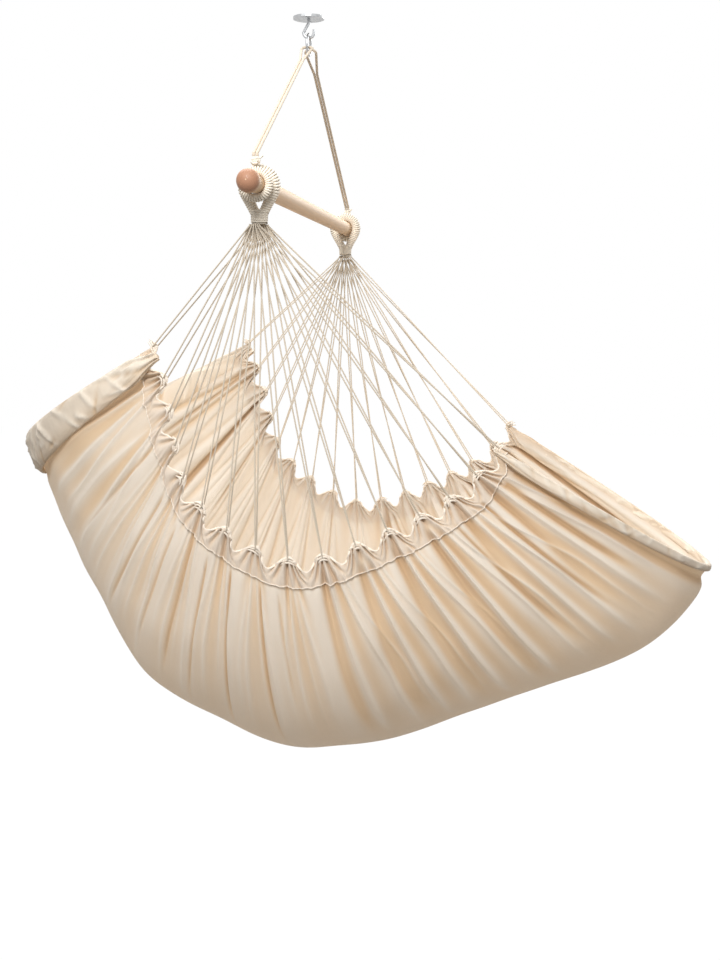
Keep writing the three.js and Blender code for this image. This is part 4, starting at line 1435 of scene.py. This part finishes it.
class HAMMOCK_OT_knots(bpy.types.Operator):
    """The knots that end the suspension ropes, with their short tails"""

    bl_idname = "hammock.knots"
    bl_label = "Knots"

    LAY = (3, 0.016, 0.1)
    CORD = 2.7 * MM
    TAIL = 2.2 * MM
    FOOT = 6.2 * MM
    STRAND = 3 * MM
    STRAND_ASIDE = 3.3 * MM
    WRAPS = 2.3
    WRAP_REACH = 6.1 * MM
    LAP_REACH = (7 * MM, 6.6 * MM)

    def execute(self, context):
        finish = thread_finish("knot_cord", tint_of("serving"), 0.016, 3, 0.3, 0.4)
        for name, side in SIDES:
            mesh = self.knot(name, side)
            piece(f"{name}_knot", mesh, finish, "hanger", "cord", f"{name}_rope_knot")
        return {"FINISHED"}

    def knot(self, name, side):
        h = hanger()
        base = np.array([0.0, side * h.hitch_reach, knot_base()])
        tall = h.knot_length
        share = np.linspace(0, 1, 121)
        angle = 2 * np.pi * self.WRAPS * share
        reach = self.WRAP_REACH + 0.5 * MM * np.sin(3 * angle)
        rise = tall * (0.22 + 0.56 * share) + 1.4 * MM * np.cos(angle + 0.8)
        wraps = stacked(np.cos(angle) * reach, np.sin(angle) * reach, rise)
        turn = np.linspace(-0.4, 2 * np.pi - 0.9, 60)
        wide, deep = self.LAP_REACH
        slope = tall * (0.5 + 0.3 * np.sin(turn))
        lap = stacked(np.cos(turn) * wide, np.sin(turn) * deep, slope)
        run = np.linspace(0, 1, 20)
        rise = tall * 0.75 + 6 * MM * run**1.5
        tail = stacked(4 * MM + 9 * MM * run, -side * 3 * MM * run, rise)
        foot = stacked(0, 0, tall * (0.45 * run - 0.015))
        parts = [
            tube(f"{name}_{label}", resampled(base + route, 1 * MM), radius, sides, lay)
            for label, route, radius, sides, lay in (
                ("wraps", wraps, self.CORD, 14, self.LAY),
                ("lap", lap, self.CORD, 14, self.LAY),
                ("tail", tail, self.TAIL, 12, self.LAY),
                ("foot", foot, self.FOOT, 16, None),
            )
        ]
        for across in (-self.STRAND_ASIDE, self.STRAND_ASIDE):
            strand = [base + [across, 0, tall * 0.2], base + [across, 0, tall * 1.01]]
            parts.append(tube(f"{name}_strand", strand, self.STRAND, 12))
        return merged(f"{name}_knot", parts)


class HAMMOCK_OT_bar(bpy.types.Operator):
    """The turned birch spreader bar with ball ends"""

    bl_idname = "hammock.bar"
    bl_label = "Spreader bar"

    SIDES = 64
    NECK = 10 * MM
    TIP = 0.05 * MM

    def execute(self, context):
        h = hanger()
        thick, ball = h.bar_diameter / 2, h.ball_diameter / 2
        start = math.asin(thick / ball)
        angle = np.linspace(0, math.pi - start, 33)
        radius = ball * np.sin(angle)
        reach = h.ball_reach + ball * np.cos(angle)
        neck = np.linspace(reach[-1], reach[-1] - self.NECK, 6)[1:]
        body = np.linspace(neck[-1], 0, 30)[1:]
        profile = np.concatenate([radius, np.full(len(neck) + len(body), thick)])
        places = np.concatenate([reach, neck, body])
        profile = np.concatenate([profile, profile[-2::-1]])[:, None]
        places = np.concatenate([places, -places[-2::-1]])[:, None]
        profile[[0, -1]] = self.TIP
        turn = circle(self.SIDES)
        grid = stacked(profile * np.cos(turn), places, profile * np.sin(turn) - h.bar_drop)
        finish = birch_finish("birch", h.ball_reach, ball)
        mesh = rod("birch_bar", grid, stacked(places, turn / (2 * np.pi)))
        piece("birch_bar", mesh, finish, "hanger", "birch", "spreader_bar")
        return {"FINISHED"}


class HAMMOCK_OT_fitting(bpy.types.Operator):
    """The ceiling plate, the hook and the hanging ring"""

    bl_idname = "hammock.fitting"
    bl_label = "Ceiling fitting"

    STEPS = 96
    SIDES = 24

    def execute(self, context):
        h = hanger()
        finish = steel_finish("plated_steel", tint_of("steel"))
        angle = np.linspace(0, 2 * np.pi, self.STEPS + 1)
        ring = stacked(0, np.cos(angle), np.sin(angle)) * h.ring_radius
        ring[-1] = ring[0]
        out = unit(ring)
        centre = ring - UP * h.ring_drop
        turn = circle(self.SIDES)
        grid = (
            centre[:, None]
            + out[:, None] * np.cos(turn)[..., None] * h.ring_wire / 2
            + HEAD_FOOT * np.sin(turn)[..., None] * h.ring_wire / 2
        )
        uv = stacked(np.linspace(0, 0.14, self.STEPS + 1)[:, None], turn / 6.3)
        mesh = shell("ring", grid, uv, wrap_across=True)
        piece("ring", mesh, finish, "hanger", "steel", "hanging_ring")
        for node in ("ceiling_plate", "ceiling_hook"):
            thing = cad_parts[node]
            thing.data.materials.clear()
            thing.data.materials.append(finish)
        return {"FINISHED"}


class HAMMOCK_PT_panel(bpy.types.Panel):
    """Lists the chair's pieces"""

    bl_label = "Hammock chair"
    bl_space_type = "VIEW_3D"
    bl_region_type = "UI"
    bl_category = "Hammock chair"

    def draw(self, context):
        for kind in PIECES:
            self.layout.operator(kind.bl_idname)
        for group in (hanger(), sling(), colours()):
            for name in group.__annotations__:
                self.layout.prop(group, name)


PIECES = (
    HAMMOCK_OT_stage,
    HAMMOCK_OT_ropes,
    HAMMOCK_OT_fans,
    HAMMOCK_OT_cloth,
    HAMMOCK_OT_bands,
    HAMMOCK_OT_hems,
    HAMMOCK_OT_servings,
    HAMMOCK_OT_knots,
    HAMMOCK_OT_bar,
    HAMMOCK_OT_fitting,
)
GROUPS = {
    "hammock_hanger": HangerSizes,
    "hammock_sling": SlingSizes,
    "hammock_colours": ChairColours,
}
KINDS = (*GROUPS.values(), *PIECES, HAMMOCK_PT_panel)


def register():
    for kind in KINDS:
        bpy.utils.register_class(kind)
    for name, kind in GROUPS.items():
        setattr(bpy.types.Scene, name, bpy.props.PointerProperty(type=kind))


def unregister():
    for name in GROUPS:
        delattr(bpy.types.Scene, name)
    for kind in reversed(KINDS):
        bpy.utils.unregister_class(kind)


def main():
    register()
    for kind in PIECES:
        group, name = kind.bl_idname.split(".")
        getattr(getattr(bpy.ops, group), name)()


if __name__ == "__main__":
    main()
